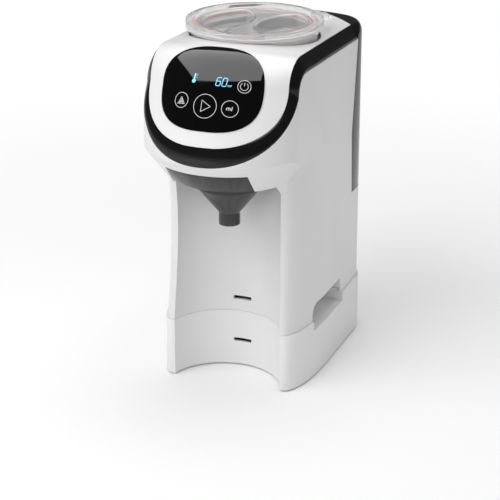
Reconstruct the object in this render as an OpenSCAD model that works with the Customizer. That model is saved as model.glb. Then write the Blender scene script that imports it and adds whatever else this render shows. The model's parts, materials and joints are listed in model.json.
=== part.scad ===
// Counter-top maker for baby formula, docked on its riser.
// Millimetres. +Z is up, -Y is the front and X = 0 is the plane of symmetry.
// The origin is on the table, under the middle of the whole object.
// The riser is drawn from the table up; the machine is drawn from its own underside up.

/* [Machine body] */
// Width of the body across its side panels
body_w = 161; // [154:0.5:170]
// Depth from the tip of the head to the back
depth = 300; // [290:1:315]
// Distance from the tip of the head back to the front of the legs
leg_setback = 72; // [66:1:78]
// Width of the legs' rounded outer front corners
leg_corner_w = 20; // [14:1:24]
// Length of those corners along the side
leg_corner_len = 80; // [60:1:90]
// How far the legs' front recedes at their waist
waist_in = 8; // [0:0.5:12]
// Height of the legs' waist
waist_z = 110; // [90:1:130]
// Radius of the two rear corners in plan
rear_corner_r = 38; // [30:1:46]
// Radius of the gently curved back
rear_r = 185; // [150:1:240]
// Wall thickness of the moulded housing
wall = 3; // [2:0.5:4]

/* [Bottle bay] */
// Width left for each leg beside the bay
leg_w = 20.5; // [18:0.5:26]
// How far the bay's centre lies ahead of the legs
bay_lead = 13; // [8:1:18]
// Height of the bay's ceiling above the machine's underside
bay_h = 165; // [150:1:170]
// Radius of the bay's upper corners
bay_corner_r = 25; // [10:1:30]
// Width of the drain slot in the bay wall
slot_w = 20; // [10:1:30]
// Height of the drain slot
slot_h = 4; // [3:0.5:6]
// Height of the slot's middle above the underside
slot_z = 15; // [10:1:30]

/* [Head] */
// Height of the band's lowest point, at the tip of the head, above the bay's ceiling
band_tip_up = 32; // [28:1:36]
// Slope of the chin under the band, measured from the vertical
chin_angle = 36.5; // [25:0.5:42]
// How much larger the head's front radius is than half the body's width
head_bow = 7.5; // [4:0.5:14]
// Radius of the head's front corners in plan
head_corner_r = 45; // [38:1:50]
// Height of the band's lower edge where it turns along the side, above the bay's ceiling
band_side_up = 113; // [106:1:118]
// Height of the band's lower edge at the tank, above the bay's ceiling
band_rear_up = 107; // [102:1:111]
// Height at which the band's outer edge stands upright, above the bay's ceiling
band_turn_up = 93; // [86:1:97]
// Distance from the head's tip to where the band runs level
band_turn_y = 84; // [78:1:95]
// Width of the band seen from above
band_w = 8; // [5:0.5:12]
// Thickness of the band's moulding
band_t = 3; // [2:0.5:4]

/* [Top cover] */
// Backward lean of the face
face_lean = 24; // [15:0.5:30]
// Radius of the face's sideways bulge
face_r = 85; // [75:1:110]
// Height of the lowest point of the white face, above the bay's ceiling
face_foot_up = 51.5; // [48:0.5:56]
// Distance of that point from the head's tip
face_foot_in = 3; // [2:0.5:8]
// Height at which the face's edge stands upright, above the bay's ceiling
face_turn_up = 100; // [96:1:106]
// Height of the deck's crown behind the face, above the bay's ceiling
deck_up = 135.5; // [132:0.5:139]
// Distance from the head's tip to the front of the level deck
deck_front_in = 72; // [64:1:84]
// How far the deck falls towards its back
deck_fall = 6; // [2:0.5:10]
// Height of the deck's crown over its edges
deck_crown = 7.5; // [4:0.5:12]
// Thickness of the cover
cover_t = 2.5; // [2:0.25:4]
// Distance from the back to the deck's rear edge, on the middle line
deck_rear_in = 27; // [20:1:34]
// Distance from the back to the deck's rear corners
deck_corner_in = 54; // [46:1:60]

/* [Touch panel] */
// Height of the panel's middle above the bay's ceiling
panel_up = 105; // [92:1:106]
// Half width of the panel
panel_half_w = 52.5; // [44:0.5:58]
// Half height of the panel along the face
panel_half_h = 43; // [34:0.5:44]
// Thickness of the panel over the cover
panel_t = 0.8; // [0.5:0.1:1.5]

/* [Water tank] */
// Height of the tank's underside
tank_z = 105; // [95:1:120]
// Distance from the back to the tank's front at its underside
tank_low_in = 62; // [58:1:66]
// Distance from the back to the tank's front at its deepest
tank_deep_in = 65.5; // [60:0.5:70]
// Height of the tank's deepest point
tank_deep_z = 172; // [160:1:190]
// Distance from the back to the tank's front at its top
tank_top_in = 50; // [46:1:56]
// Wall thickness of the tank
tank_wall = 2.5; // [2:0.25:4]
// Clearance between the tank and the housing
tank_gap = 0.8; // [0.4:0.1:2]
// Height of the tank lid
tank_lid_h = 15.5; // [12:0.5:20]
// Outer radius of the outlet spigot
spigot_r = 8; // [6:0.5:10]
// Height of the outlet above the tank's underside
spigot_rise = 14; // [12:0.5:24]
// Length of the outlet spigot
spigot_len = 16; // [10:0.5:20]

/* [Powder container] */
// Distance from the back to the container's axis
bowl_in = 146.2; // [140:0.5:152]
// Distance from the body's side to the container
bowl_side = 15.5; // [15:0.5:19]
// Wall thickness of the container
bowl_wall = 2; // [1.5:0.25:3]
// Height of the container's underside above the bay's ceiling
bowl_up = 47.5; // [46:0.5:50]
// How far the container's rim stands out from its wall
rim_lip = 3.5; // [3:0.25:4.5]
// Height of the top of the lid above the bay's ceiling
lid_top_up = 144; // [141:0.5:150]
// Height of the lid's edge
lid_h = 8; // [6:0.5:12]
// How far the lid stands out past the container's rim
lid_lip = 1.8; // [1.4:0.1:3]
// Width of the raised ring round the lid's sunken middle
lid_edge = 9.3; // [8.5:0.1:14]
// Depth of the two finger pockets below the lid's top
grip_depth = 17; // [10:0.5:22]
// Thickness of the fin between the finger pockets
fin_t = 5; // [3:0.5:8]
// Direction of the lid's tab, from the right towards the back
tab_angle = 43; // [30:1:60]

/* [Dosing] */
// Distance from the container's outside to the dosing wheel
dose_side = 4; // [2.5:0.25:6]
// Number of powder pockets in the wheel
dose_n = 8; // [6:1:10]
// Radius of each powder pocket
dose_pocket_r = 9; // [6:0.5:9.5]
// Distance from the dosing wheel's edge to the middle of the powder outlet
outlet_in = 12; // [10.5:0.25:14]
// Distance across the flats of the drive hexagon
hex_af = 12; // [9:0.5:14]

/* [Gear train] */
// Space from the output gear's pitch circle to the edge of the powder outlet
gear_room = 10; // [9.5:0.5:12]
// Teeth on the output gear
out_teeth = 40; // [36:4:44]
// Teeth on the idler gear
idler_teeth = 20; // [20:4:24]
// Teeth on the motor pinion
pinion_teeth = 12; // [12:2:14]
// Width of the gears
gear_w = 7; // [5:0.5:8]
// Diameter of the idler's axle
axle_d = 5; // [4:0.25:6]
// Diameter of the motor's shaft
shaft_d = 4; // [3:0.25:5]

/* [Funnel drawer] */
// How far the drawer's front reaches past the funnel on each side
drawer_side = 8.5; // [6:0.5:11]
// Height of the drawer's front
drawer_h = 18; // [14:0.5:20]
// Distance from the head's tip to the funnel's axis
funnel_in = 82; // [80:0.5:84]
// Gap between the funnel's mouth and the bay's back wall
funnel_back = 2.5; // [2:0.25:6]
// How far the funnel's cone starts below the bay's ceiling
cone_drop = 11; // [6:1:20]
// How far the top of the neck lies below the bay's ceiling
neck_top_drop = 40; // [35:1:45]
// How far the neck's mouth lies below the bay's ceiling
neck_drop = 53; // [49:1:59]
// Outer radius of the neck
neck_r = 11; // [9:0.5:13]
// Wall thickness of the funnel and the drawer
funnel_wall = 2; // [1.5:0.25:3]

/* [Riser] */
// Height of the riser's rim above the table
riser_h = 63; // [55:1:80]
// How far the riser stands out past the machine on each side
riser_out = 2; // [1.5:0.25:4]
// Height of the raised middle above the rim
plateau_h = 3.5; // [2.5:0.25:4]
// Distance from the riser's edge in to the raised middle
plateau_in = 6; // [5.8:0.1:8]
// Wall thickness of the riser
riser_wall = 3; // [2:0.5:4]
// Height of the rubber feet that shows under the riser
foot_show = 1.5; // [1:0.25:3]
// Radius of the rubber feet
foot_r = 6; // [5:0.25:7]
// Height of the machine's feet that shows under the machine
foot_drop = 2.2; // [1.5:0.1:2.5]
// Depth of the side pockets below the rim
pocket_depth = 10; // [8:0.5:14]
// Distance from the machine's back to the finger gaps in its sides
gap_rear_in = 93; // [88:1:110]
// Height of the finger gaps
gap_h = 18; // [14:0.5:22]
// Distance from the legs' front back to the finger gaps
gap_back = 46; // [44:1:55]
// How deep the finger gaps reach in from the side
gap_in = 30; // [24:0.5:32]

/* [Water parts] */
// Radius of the flow heater
heater_r = 22; // [18:0.5:24]
// Height of the flow heater
heater_h = 88; // [70:1:100]
// Radius of the pump
pump_r = 18; // [15:0.5:20]
// Height of the pump
pump_h = 46; // [40:1:60]
// Outer diameter of the silicone hoses
hose_d = 8; // [6:0.5:9]
// Bore of the silicone hoses
hose_bore = 5; // [3:0.5:5.5]

/* [Clearances] */
// Gap between the docked machine and its riser
dock_gap = 0.3; // [0.2:0.1:1]
// Gap between parts that slide in one another
slide_gap = 0.4; // [0.3:0.05:0.8]
// Gap at a seat
seat_gap = 0.3; // [0.2:0.05:0.5]
// Radial clearance of a shaft in its bore
run_gap = 0.06; // [0.03:0.01:0.1]

/* [Hidden] */

$fn = 64;
cut = 1;                     // how far a cutter runs past the face it opens
far = 400;                   // longer than anything here

// Plan of the machine
half_w = body_w / 2;
bay_r = half_w - leg_w;
head_r = half_w + head_bow;
nose_y = -depth / 2;
rear_y = depth / 2;
leg_y = nose_y + leg_setback;
rear_cy = rear_y - rear_r;
corner_x = half_w - rear_corner_r;
corner_y = rear_cy + sqrt(pow(rear_r - rear_corner_r, 2) - corner_x * corner_x);
corner_turn = atan2(corner_y - rear_cy, corner_x);
head_cy = nose_y + head_r;
head_corner_x = half_w - head_corner_r;
head_corner_y = head_cy - sqrt(pow(head_r - head_corner_r, 2) - head_corner_x * head_corner_x);
head_turn = atan2(head_corner_y - head_cy, head_corner_x);
bay_y = leg_y - bay_lead;
base_z = riser_h + dock_gap;
gap_y = leg_y + gap_back;
gap_end_y = rear_y - gap_rear_in;

// Heights in the head, all above the bay's ceiling
band_tip_z = bay_h + band_tip_up;
band_side_z = bay_h + band_side_up;
band_rear_z = bay_h + band_rear_up;
band_turn_z = bay_h + band_turn_up;
face_foot_z = bay_h + face_foot_up;
face_turn_z = bay_h + face_turn_up;
deck_z = bay_h + deck_up;
panel_z = bay_h + panel_up;
bowl_z = bay_h + bowl_up;
lid_top_z = bay_h + lid_top_up;
cone_z = bay_h - cone_drop;
neck_top_z = bay_h - neck_top_drop;
neck_z = bay_h - neck_drop;

// Head
shoulder_y = nose_y + band_turn_y;
out_drop = band_turn_z - band_tip_z;
out_power = 2.3;             // squareness of the band's outer edge, seen from the front
in_power = 2.65;             // squareness of the band's inner edge
band_puff = 0.6;             // how far the band bulges out between its edges
in_half_w = half_w - band_w;
in_drop = face_turn_z - face_foot_z;
face_foot_y = nose_y + face_foot_in;
deck_front_y = nose_y + deck_front_in;
deck_edge_z = deck_z - deck_crown;
deck_end_y = rear_y - deck_rear_in;
deck_corner_y = rear_y - deck_corner_in;
deck_sag = deck_end_y - deck_corner_y;
deck_r = (in_half_w * in_half_w + deck_sag * deck_sag) / (2 * deck_sag);
deck_cy = deck_end_y - deck_r;
tank_top_z = band_rear_z;

// Heights inside the head
drawer_z = bay_h + wall;                   // top of the bay's ceiling, where the drawer runs
plate_z = drawer_z + drawer_h + wall;      // underside of the chassis plate
plate_t = 2.5;
gear_floor_z = plate_z + plate_t;
gear_z = gear_floor_z + 4.5;
gear_roof_z = gear_floor_z + 15;
roof_t = 2;
well_floor_t = 2.5;
well_floor_z = bowl_z - seat_gap - well_floor_t;
bowl_r = half_w - bowl_side;
rim_r = bowl_r + rim_lip;
lid_r = rim_r + lid_lip;
lid_well_r = lid_r - lid_edge;
dose_r = bowl_r - dose_side;
outlet_off = dose_r - outlet_in;
well_r = bowl_r + 1;
well_wall = 2.5;
bowl_y = rear_y - bowl_in;
rim_t = 2;
rim_z = lid_top_z - lid_h + rim_t;
floor_t = 2.5;
wheel_z = bowl_z + floor_t + slide_gap;
wheel_t = 9;
funnel_y = nose_y + funnel_in;
funnel_r = bay_y + bay_r - funnel_back - funnel_y;
drawer_half_w = funnel_r + drawer_side;
gear_m = 2 * (outlet_off - dose_pocket_r - gear_room) / out_teeth;

// Places inside the body
foot_spots = [[half_w - 18, leg_y + 32], [-half_w + 18, leg_y + 32],
              [half_w - 16.5, rear_y - 35], [-half_w + 16.5, rear_y - 35]];
base_plate_z = plateau_h + 1;
base_plate_t = 2.5;
stud_r = 2.5;
inside_z = base_plate_z + base_plate_t;
post_spots = [[half_w - 28, gap_y - 15], [-half_w + 28, gap_y - 15],
              [half_w - 14.5, gap_end_y + 13], [-half_w + 14.5, gap_end_y + 13]];
post_r = 3.4;
flange_w = 1.5;                            // of the heater's and the pump's foot
heater_at = [-half_w + 28, bay_y + bay_r + wall + pump_r + flange_w + 1];
heater_z = gap_h + wall;
pump_at = [0, heater_at[1]];
mount_h = 5;
pump_z = inside_z + mount_h;
hose_z = heater_z + 13;                    // height of the pump's outlet and the heater's inlet
barb_r = hose_bore / 2 - run_gap;
hose_bend = 14;
barb_len = (pump_at[0] - pump_r - heater_at[0] - heater_r) / 2 - 1;   // of the two that face each other
spout_bend = 12;
spout_z = gear_floor_z + 8.5;              // middle of the spout pipe's level run
idler_dir = 55;
pinion_dir = 0;
out_pitch = gear_m * out_teeth / 2;
idler_pitch = gear_m * idler_teeth / 2;
pinion_pitch = gear_m * pinion_teeth / 2;
idler_at = [(out_pitch + idler_pitch) * cos(idler_dir),
            bowl_y + (out_pitch + idler_pitch) * sin(idler_dir)];
pinion_at = idler_at + (idler_pitch + pinion_pitch) * [cos(pinion_dir), sin(pinion_dir)];
idler_start = idler_dir + 180 + 180 / idler_teeth;   // a gap of the idler faces a tooth of the output gear
idler_phase = (pinion_dir - idler_start) * idler_teeth / 360;
pinion_start = pinion_dir + 180 + (idler_phase - 0.5) * 360 / pinion_teeth;
motor_r = 15;
motor_h = 40;
spigot_z = tank_z + spigot_rise;
tank_low_y = rear_y - tank_low_in;
tank_lean = (tank_deep_in - tank_low_in) / (tank_deep_z - tank_z);
socket_r = spigot_r + 5.5;
socket_len = spigot_len + 4;
socket_y = tank_low_y - tank_gap - tank_lean * (spigot_rise + socket_r);
mouth_y = rear_y - tank_top_in + tank_wall + 1;      // front of the tank's filling mouth
board_in = 18;                             // how far the control board lies behind the face
board_w = 88;
board_h = 52;
board_t = 1.6;
board_hole_in = 4;
board_drop = 8;                            // from the panel's middle down to the board's
display_w = 52;
display_h = 18;
display_t = 8;
bracket_w = 8;
bracket_t = 2.5;
bracket_x = board_w / 2 - board_hole_in;
power_w = 54;
power_h = 62;
power_y = rear_y - 60;
frame_front_in = 26;                       // from the head's tip to the inner frame
gear_pressure = 25;
backlash = 0.16;                           // taken off each flank of every gear
chute_y = bowl_y - outlet_off;
spout_at = [-26, funnel_y + 6];
key_w = 26;
key_d = 15;
key_depth = 8;                             // of the riser's recess for the key
well_feet = [130, 190, 305, 355];     // directions of the well's feet
key_y = rear_y - 39;
screw_r = 3;
screw_hole_r = 1.8;
boss_spots = [[32, rear_y - 15], [-32, rear_y - 15], [half_w - 16, leg_y + 20], [-half_w + 16, leg_y + 20]];
inlet_x = corner_x - 6.5;
inlet_z = 40;
vent_x = 2.5 - corner_x;
scraper_z = wheel_z + wheel_t + slide_gap;
stir_z = scraper_z + 6;
stir_h = 38;
dog_top_z = wheel_z + 7;
float_at = [-half_w + 26.5, rear_y - 24];

// ---------- curves ----------

function arc(c, r, a0, a1, n = 8) =
    [for (i = [0:n]) let(a = a0 + (a1 - a0) * i / n) c + r * [cos(a), sin(a)]];
function flip(p) = [for (i = [len(p) - 1:-1:0]) [-p[i][0], p[i][1]]];
function both(half) = concat(half, flip(half));

// Plan of the machine at a height z, and of the riser: legs in front, a gently curved back
function waist(z) = z < waist_z ? sin(90 * z / waist_z)
    : cos(90 * min(1, (z - waist_z) / (band_tip_z - waist_z)));
function corner_len(z) = leg_corner_w + (leg_corner_len - leg_corner_w)
    * (z < bay_h ? 1 : max(0, 1 - (z - bay_h) / (band_turn_z - bay_h)));
function leg_corner(out, inset, z) = let(w = leg_corner_w + waist_in / 2 * waist(z), len = corner_len(z),
                                         front = leg_y + waist_in * waist(z))
    [for (a = [0:10:90]) [half_w + out - w + (w - inset) * sin(a), front + len - (len - inset) * cos(a)]];
function body_half(out, inset, z = 0) = concat(
    leg_corner(out, inset, z),
    arc([corner_x + out, corner_y], rear_corner_r - inset, 0, corner_turn),
    [for (i = [1:7]) let(a = corner_turn + (90 - corner_turn) * i / 8)
        [(rear_r - inset) * cos(a) + out * (8 - i) / 8, rear_cy + (rear_r - inset) * sin(a)]]);
function body_plan(out, inset, z = 0) = both(body_half(out, inset, z));

// Plan of the head: a wide front arc between two tighter corners
function head_half(inset) = concat(
    [for (p = arc([0, head_cy], head_r - inset, -90, head_turn, 10)) if (p[0] > 0.01) p],
    [for (p = arc([head_corner_x, head_corner_y], head_corner_r - inset, head_turn, 0, 10)) p],
    [[half_w - inset, bowl_y]]);
function head_plan(inset) = both(head_half(inset));

// Front of the head at a distance x from the middle
function head_front(x) = x < head_r * cos(head_turn)
    ? head_cy - sqrt(head_r * head_r - x * x)
    : head_corner_y - sqrt(max(0, pow(head_corner_r, 2) - pow(x - head_corner_x, 2)));

// The face is a leaning cylinder; this is its front line at a height z
function face_line(z) = face_foot_y + (z - face_foot_z) * tan(face_lean);

// Edges of the trim band on the right, s = 0..1 round the front, 1..2 over the shoulder,
// 2..3 along the side
function rim_out(s) =
    s <= 1 ? let(t = 90 * (1 - s), x = half_w * pow(cos(t), 2 / out_power))
        [x, head_front(x), band_turn_z - out_drop * pow(sin(t), 2 / out_power)] :
    s <= 2 ? let(q = 90 * (s - 1))
        [half_w, shoulder_y + (head_corner_y - shoulder_y) * cos(q),
         band_turn_z + (band_side_z - band_turn_z) * sin(q)] :
    [half_w, shoulder_y + (deck_corner_y + 2 - shoulder_y) * (s - 2),
     band_side_z + (band_rear_z - band_side_z) * (s - 2)];
function rim_in(s) =
    s <= 1 ? let(t = 90 * (1 - s), x = in_half_w * pow(cos(t), 2 / in_power),
                 z = face_turn_z - in_drop * pow(sin(t), 2 / in_power))
        [x, face_line(z) + x * x / (2 * face_r), z] :
    s <= 2 ? let(q = 90 * (s - 1), y0 = face_line(face_turn_z) + in_half_w * in_half_w / (2 * face_r))
        [in_half_w, shoulder_y + 4 + (y0 - shoulder_y - 4) * cos(q),
         face_turn_z + (deck_edge_z - face_turn_z) * sin(q)] :
    [in_half_w, shoulder_y + 4 + (deck_corner_y - shoulder_y - 4) * (s - 2),
     deck_edge_z - deck_fall * (s - 2)];
// Middle line of the face and the deck, as [y, z]
function crown(s) =
    s <= 1 ? let(p = rim_in(s)) [face_line(p[2]), p[2]] :
    s <= 2 ? let(t = s - 1, a = [face_line(face_turn_z), face_turn_z],
                 b = [face_line(deck_z), deck_z], c = [deck_front_y, deck_z])
        a * (1 - t) * (1 - t) + b * 2 * t * (1 - t) + c * t * t :
    [deck_front_y + (deck_corner_y - deck_front_y) * (s - 2), deck_z - deck_fall * (s - 2)];
// Point of the cover's outside, u = -1..1 from the left edge to the right edge
function skin(s, u) = let(e = rim_in(s), c = crown(s))
    [u * e[0], c[0] + (e[1] - c[0]) * u * u, c[1] + (e[2] - c[1]) * u * u];
// Direction of the cover's outward normal on the middle line, from the horizontal
function skin_tilt(s) = s <= 1 ? face_lean : s <= 2 ? face_lean + (90 - face_lean) * (s - 1) : 90;
function skin_in(s, u, t) = let(p = skin(s, u), a = skin_tilt(s))
    [p[0] * (1 - 0.8 * t / in_half_w), p[1] + t * cos(a), p[2] - t * sin(a)];

// ---------- building blocks ----------

module slab(points, z0, z1) {
    translate([0, 0, z0]) linear_extrude(z1 - z0) polygon(points);
}

// Outline in the YZ plane, drawn across the whole width w
module side_slab(points, w) {
    rotate([90, 0, 90]) linear_extrude(w, center = true) polygon(points);
}

// Outline in the XZ plane, drawn from y0 back to y1
module front_slab(points, y0, y1) {
    translate([0, y1, 0]) rotate([90, 0, 0]) linear_extrude(y1 - y0) polygon(points);
}

module box(low, high) {
    translate(low) cube(high - low);
}

module post(at, r, z0, z1) {
    translate([at[0], at[1], z0]) cylinder(r = r, h = z1 - z0);
}

module tube(at, r, bore, z0, z1) {
    difference() {
        post(at, r, z0, z1);
        post(at, bore, z0 - cut, z1 + cut);
    }
}

// Closed shell between an outer and an inner grid of points
module grid_shell(outer, inner) {
    n = len(outer);
    m = len(outer[0]);
    points = concat([for (r = outer) each r], [for (r = inner) each r]);
    function o(i, j) = i * m + j;
    function q(i, j) = (n + i) * m + j;
    quads = concat(
        [for (i = [0:n - 2], j = [0:m - 2]) [o(i, j), o(i + 1, j), o(i + 1, j + 1), o(i, j + 1)]],
        [for (i = [0:n - 2], j = [0:m - 2]) [q(i, j), q(i, j + 1), q(i + 1, j + 1), q(i + 1, j)]],
        [for (i = [0:n - 2]) [o(i, 0), q(i, 0), q(i + 1, 0), o(i + 1, 0)]],
        [for (i = [0:n - 2]) [o(i, m - 1), o(i + 1, m - 1), q(i + 1, m - 1), q(i, m - 1)]],
        [for (j = [0:m - 2]) [o(0, j), o(0, j + 1), q(0, j + 1), q(0, j)]],
        [for (j = [0:m - 2]) [o(n - 1, j + 1), o(n - 1, j), q(n - 1, j), q(n - 1, j + 1)]]);
    polyhedron(points, [for (f = quads) each [[f[0], f[1], f[2]], [f[0], f[2], f[3]]]]);
}

// Solid through a stack of outlines that all have the same number of points
module stack(outlines, heights) {
    m = len(outlines[0]);
    n = len(outlines);
    points = [for (i = [0:n - 1]) each [for (p = outlines[i]) [p[0], p[1], heights[i]]]];
    polyhedron(points, concat(
        [[for (j = [0:m - 1]) j]],
        [[for (j = [m - 1:-1:0]) (n - 1) * m + j]],
        [for (i = [0:n - 2], j = [0:m - 1]) let(k = (j + 1) % m)
            each [[i * m + j, (i + 1) * m + j, (i + 1) * m + k], [i * m + j, (i + 1) * m + k, i * m + k]]]));
}

// Lifts a machine part onto the riser
module docked() {
    translate([0, 0, base_z]) children();
}

// ---------- riser ----------

module riser_pocket(side, grow) {
    y0 = gap_y - grow;
    y1 = gap_end_y + grow;
    x0 = half_w - gap_in - grow;
    x1 = half_w + riser_out + (grow > 0 ? 0 : cut);
    z0 = riser_h - pocket_depth - grow;
    mirror([side < 0 ? 1 : 0, 0, 0])
        box([x0, y0, z0], [x1, y1, riser_h + plateau_h + cut]);
}

module riser_shell() color([0.9, 0.9, 0.91]) difference() {
    union() {
        slab(body_plan(riser_out, 0), foot_show, riser_h);
        difference() {
            slab(body_plan(riser_out, plateau_in), riser_h - cut, riser_h + plateau_h);
            box([-far, -far, 0], [far, gap_y - 1, far]);
            post([0, bay_y], bay_r + plateau_in, 0, far);
        }
    }
    difference() {
        slab(body_plan(riser_out, riser_wall), 0, riser_h - riser_wall);
        for (side = [-1, 1]) riser_pocket(side, riser_wall);
        for (p = foot_spots) post(p, foot_r + riser_wall, foot_show, riser_h);
        box([-key_w / 2 - 4, key_y - 4, riser_h - key_depth - 4],
            [key_w / 2 + 4, key_y + key_d + 4, riser_h]);
    }
    post([0, bay_y], bay_r + riser_wall, 0, far);
    for (side = [-1, 1]) riser_pocket(side, 0);
    for (p = foot_spots) {
        post(p, foot_r + slide_gap, riser_h - foot_drop, far);
        post(p, foot_r, 0, foot_show + 2.5);
    }
    for (side = [-1, 1]) mirror([side < 0 ? 1 : 0, 0, 0])
        box([half_w - 31, rear_y - 41, riser_h], [half_w - 16, rear_y - 29, far]);
    box([-key_w / 2 - slide_gap, key_y - slide_gap, riser_h - key_depth],
        [key_w / 2 + slide_gap, key_y + key_d + slide_gap, far]);
    box([-key_w / 5, key_y, riser_h], [key_w / 5, rear_y - plateau_in - 4, far]);
}

// Curved wall of the riser's bay
module riser_liner() color([0.9, 0.9, 0.91]) difference() {
    intersection() {
        slab(body_plan(riser_out, 0), foot_show, riser_h);
        tube([0, bay_y], bay_r + riser_wall, bay_r, foot_show, riser_h);
    }
    box([-slot_w / 2, bay_y + bay_r - cut * 2, riser_h / 2 - slot_h],
        [slot_w / 2, bay_y + bay_r + riser_wall + cut, riser_h / 2]);
}

module riser_feet() color([0.25, 0.25, 0.26]) for (p = foot_spots) {
    post(p, foot_r + 1, 0, foot_show);
    post(p, foot_r - run_gap, foot_show, foot_show + 2.2);
}

// ---------- machine shells ----------

// Side view of everything under the cover and ahead of the tank, as [y, z]
function tank_face(gap) = [
    [rear_y - tank_top_in - gap, tank_top_z - 1],
    [rear_y - (tank_top_in + tank_deep_in) / 2 - gap, (tank_top_z + tank_deep_z) / 2],
    [rear_y - tank_deep_in - gap, tank_deep_z],
    [rear_y - tank_low_in - gap, tank_z - gap]];
function core_profile(inset) = let(top = inset > 0 ? cut : -seat_gap) concat(
    [[nose_y - far, -cut], [nose_y - far, band_tip_z + top]],
    [for (i = [0:40]) let(p = rim_out(i / 20)) [p[1], p[2] + top]],
    [[rear_y - tank_top_in - tank_gap, band_rear_z + top]],
    tank_face(tank_gap + inset),
    [[rear_y + far, tank_z - tank_gap - inset], [rear_y + far, -cut]]);

module head_block(inset) intersection() {
    slab(head_plan(inset), bay_h + inset, band_side_z + 4);
    translate([0, head_cy, bay_h])
        cylinder(r1 = head_r - (band_tip_z - bay_h) * tan(chin_angle) - inset / cos(chin_angle),
                 r2 = head_r + (far - band_tip_z) * tan(chin_angle) - inset / cos(chin_angle),
                 h = far - bay_h, $fn = 96);
}

// The body below the head: its legs grow slimmer at their waist and widen again into the head
module body_column(inset, low) {
    levels = concat([low], [for (i = [1:8]) bay_h * i / 8],
                    [for (i = [1:4]) bay_h + (band_turn_z - bay_h) * i / 4], [band_side_z + 4]);
    stack([for (z = levels) body_plan(0, inset, max(0, z))], levels);
}

module body_block(inset, low) intersection() {
    union() {
        body_column(inset, low);
        head_block(inset);
    }
    side_slab(core_profile(inset), far);
}

module bay_block(grow) intersection() {
    post([0, bay_y], bay_r + grow, -cut * 2, bay_h + grow);
    front_slab(concat(
        [[bay_r + grow, -cut * 2]],
        arc([bay_r - bay_corner_r, bay_h - bay_corner_r], bay_corner_r + grow, 0, 90),
        arc([-bay_r + bay_corner_r, bay_h - bay_corner_r], bay_corner_r + grow, 90, 180),
        [[-bay_r - grow, -cut * 2]]), bay_y - bay_r - 20, bay_y + bay_r + 20);
}

// Finger gap in the machine's side, with an upright front and a slanting back
module gap_block(side, grow) {
    y0 = gap_y - grow;
    y1 = gap_end_y + grow;
    r = 12;
    outline = concat([[y0, -cut * 2]],
        [for (p = arc([y0 + r + grow, gap_h - r], r + grow, 180, 90)) p],
        [[y1 - 6, gap_h + grow], [y1, -cut * 2]]);
    mirror([side < 0 ? 1 : 0, 0, 0]) translate([half_w - gap_in / 2 + 1 - grow / 2, 0, 0])
        side_slab(outline, gap_in + 2 + grow);
}

// Bosses inside the housing that take the base plate's screws, tied to the nearest wall
module screw_bosses() intersection() {
    body_block(1, 0);
    for (p = boss_spots) {
        post(p, 5, inside_z, inside_z + 16);
        if (abs(p[0]) < corner_x) box([p[0] - 2, p[1], inside_z], [p[0] + 2, rear_y, inside_z + 16]);
        else box([min(p[0], sign(p[0]) * half_w), p[1] - 2, inside_z],
                 [max(p[0], sign(p[0]) * half_w), p[1] + 2, inside_z + 16]);
    }
}

// Way of the drawer through the chin and over the bay
module drawer_way() {
    box([-drawer_half_w - slide_gap, nose_y - cut, bay_h - wall],
        [drawer_half_w + slide_gap, bay_y + bay_r + 6, drawer_z + drawer_h + slide_gap]);
}

module main_housing() color([0.93, 0.93, 0.94]) docked() difference() {
    union() {
        difference() {
            body_block(0, 0);
            difference() {
                body_block(wall, -cut);
                intersection() {
                    for (side = [-1, 1]) gap_block(side, wall);
                    box([-far, -far, base_plate_z], [far, far, far]);
                }
            }
        }
        screw_bosses();
    }
    bay_block(wall);
    for (side = [-1, 1]) gap_block(side, 0);
    drawer_way();
    translate([0, tank_low_y, spigot_z]) rotate([90, 0, 0])
        cylinder(r = socket_r + 0.5, h = 20, center = true);
    box([inlet_x - 12, rear_y - 20, inlet_z - 7], [inlet_x + 12, rear_y + cut, inlet_z + 7]);
    for (i = [0:6]) box([vent_x + i * 8, rear_y - 12, 50], [vent_x + i * 8 + 3, rear_y + cut, 82]);
    for (p = boss_spots) post(p, screw_hole_r, 0, inside_z + 10);
}

// Curved wall of the bottle bay, moulded as a piece of its own
module bay_liner() color([0.93, 0.93, 0.94]) docked() difference() {
    intersection() {
        body_block(0, 0);
        bay_block(wall);
    }
    bay_block(0);
    for (side = [-1, 1]) gap_block(side, 0);
    drawer_way();
    box([-slot_w / 2, bay_y + bay_r - cut * 2, slot_z - slot_h / 2],
        [slot_w / 2, bay_y + bay_r + wall + cut, slot_z + slot_h / 2]);
}

// Stations along the cover from its lowest point to past its rear edge
function cover_station(i) = i <= 26 ? i / 13 : 2 + (i - 26) / 3.2;

module top_cover() color([0.96, 0.96, 0.97]) docked() {
    difference() {
        intersection() {
            grid_shell([for (i = [1:30]) [for (j = [-6:6]) skin(cover_station(i), j / 6)]],
                       [for (i = [1:30]) [for (j = [-6:6]) skin_in(cover_station(i), j / 6, cover_t)]]);
            union() {
                post([0, deck_cy], deck_r, 0, far);
                box([-far, -far, 0], [far, deck_cy, far]);
            }
        }
        post([0, bowl_y], well_r + 1.5, 0, far);
    }
    // skirt that closes the cover's rear edge down to the tank
    intersection() {
        grid_shell([for (i = [28:30]) [for (j = [-6:6]) skin_in(cover_station(i), j / 6, 1)]],
                   [for (i = [28:30]) [for (j = [-6:6]) skin_in(cover_station(i), j / 6, deck_z - tank_top_z)]]);
        tube([0, deck_cy], deck_r, deck_r - cover_t, tank_top_z + seat_gap, deck_z);
    }
}

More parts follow.
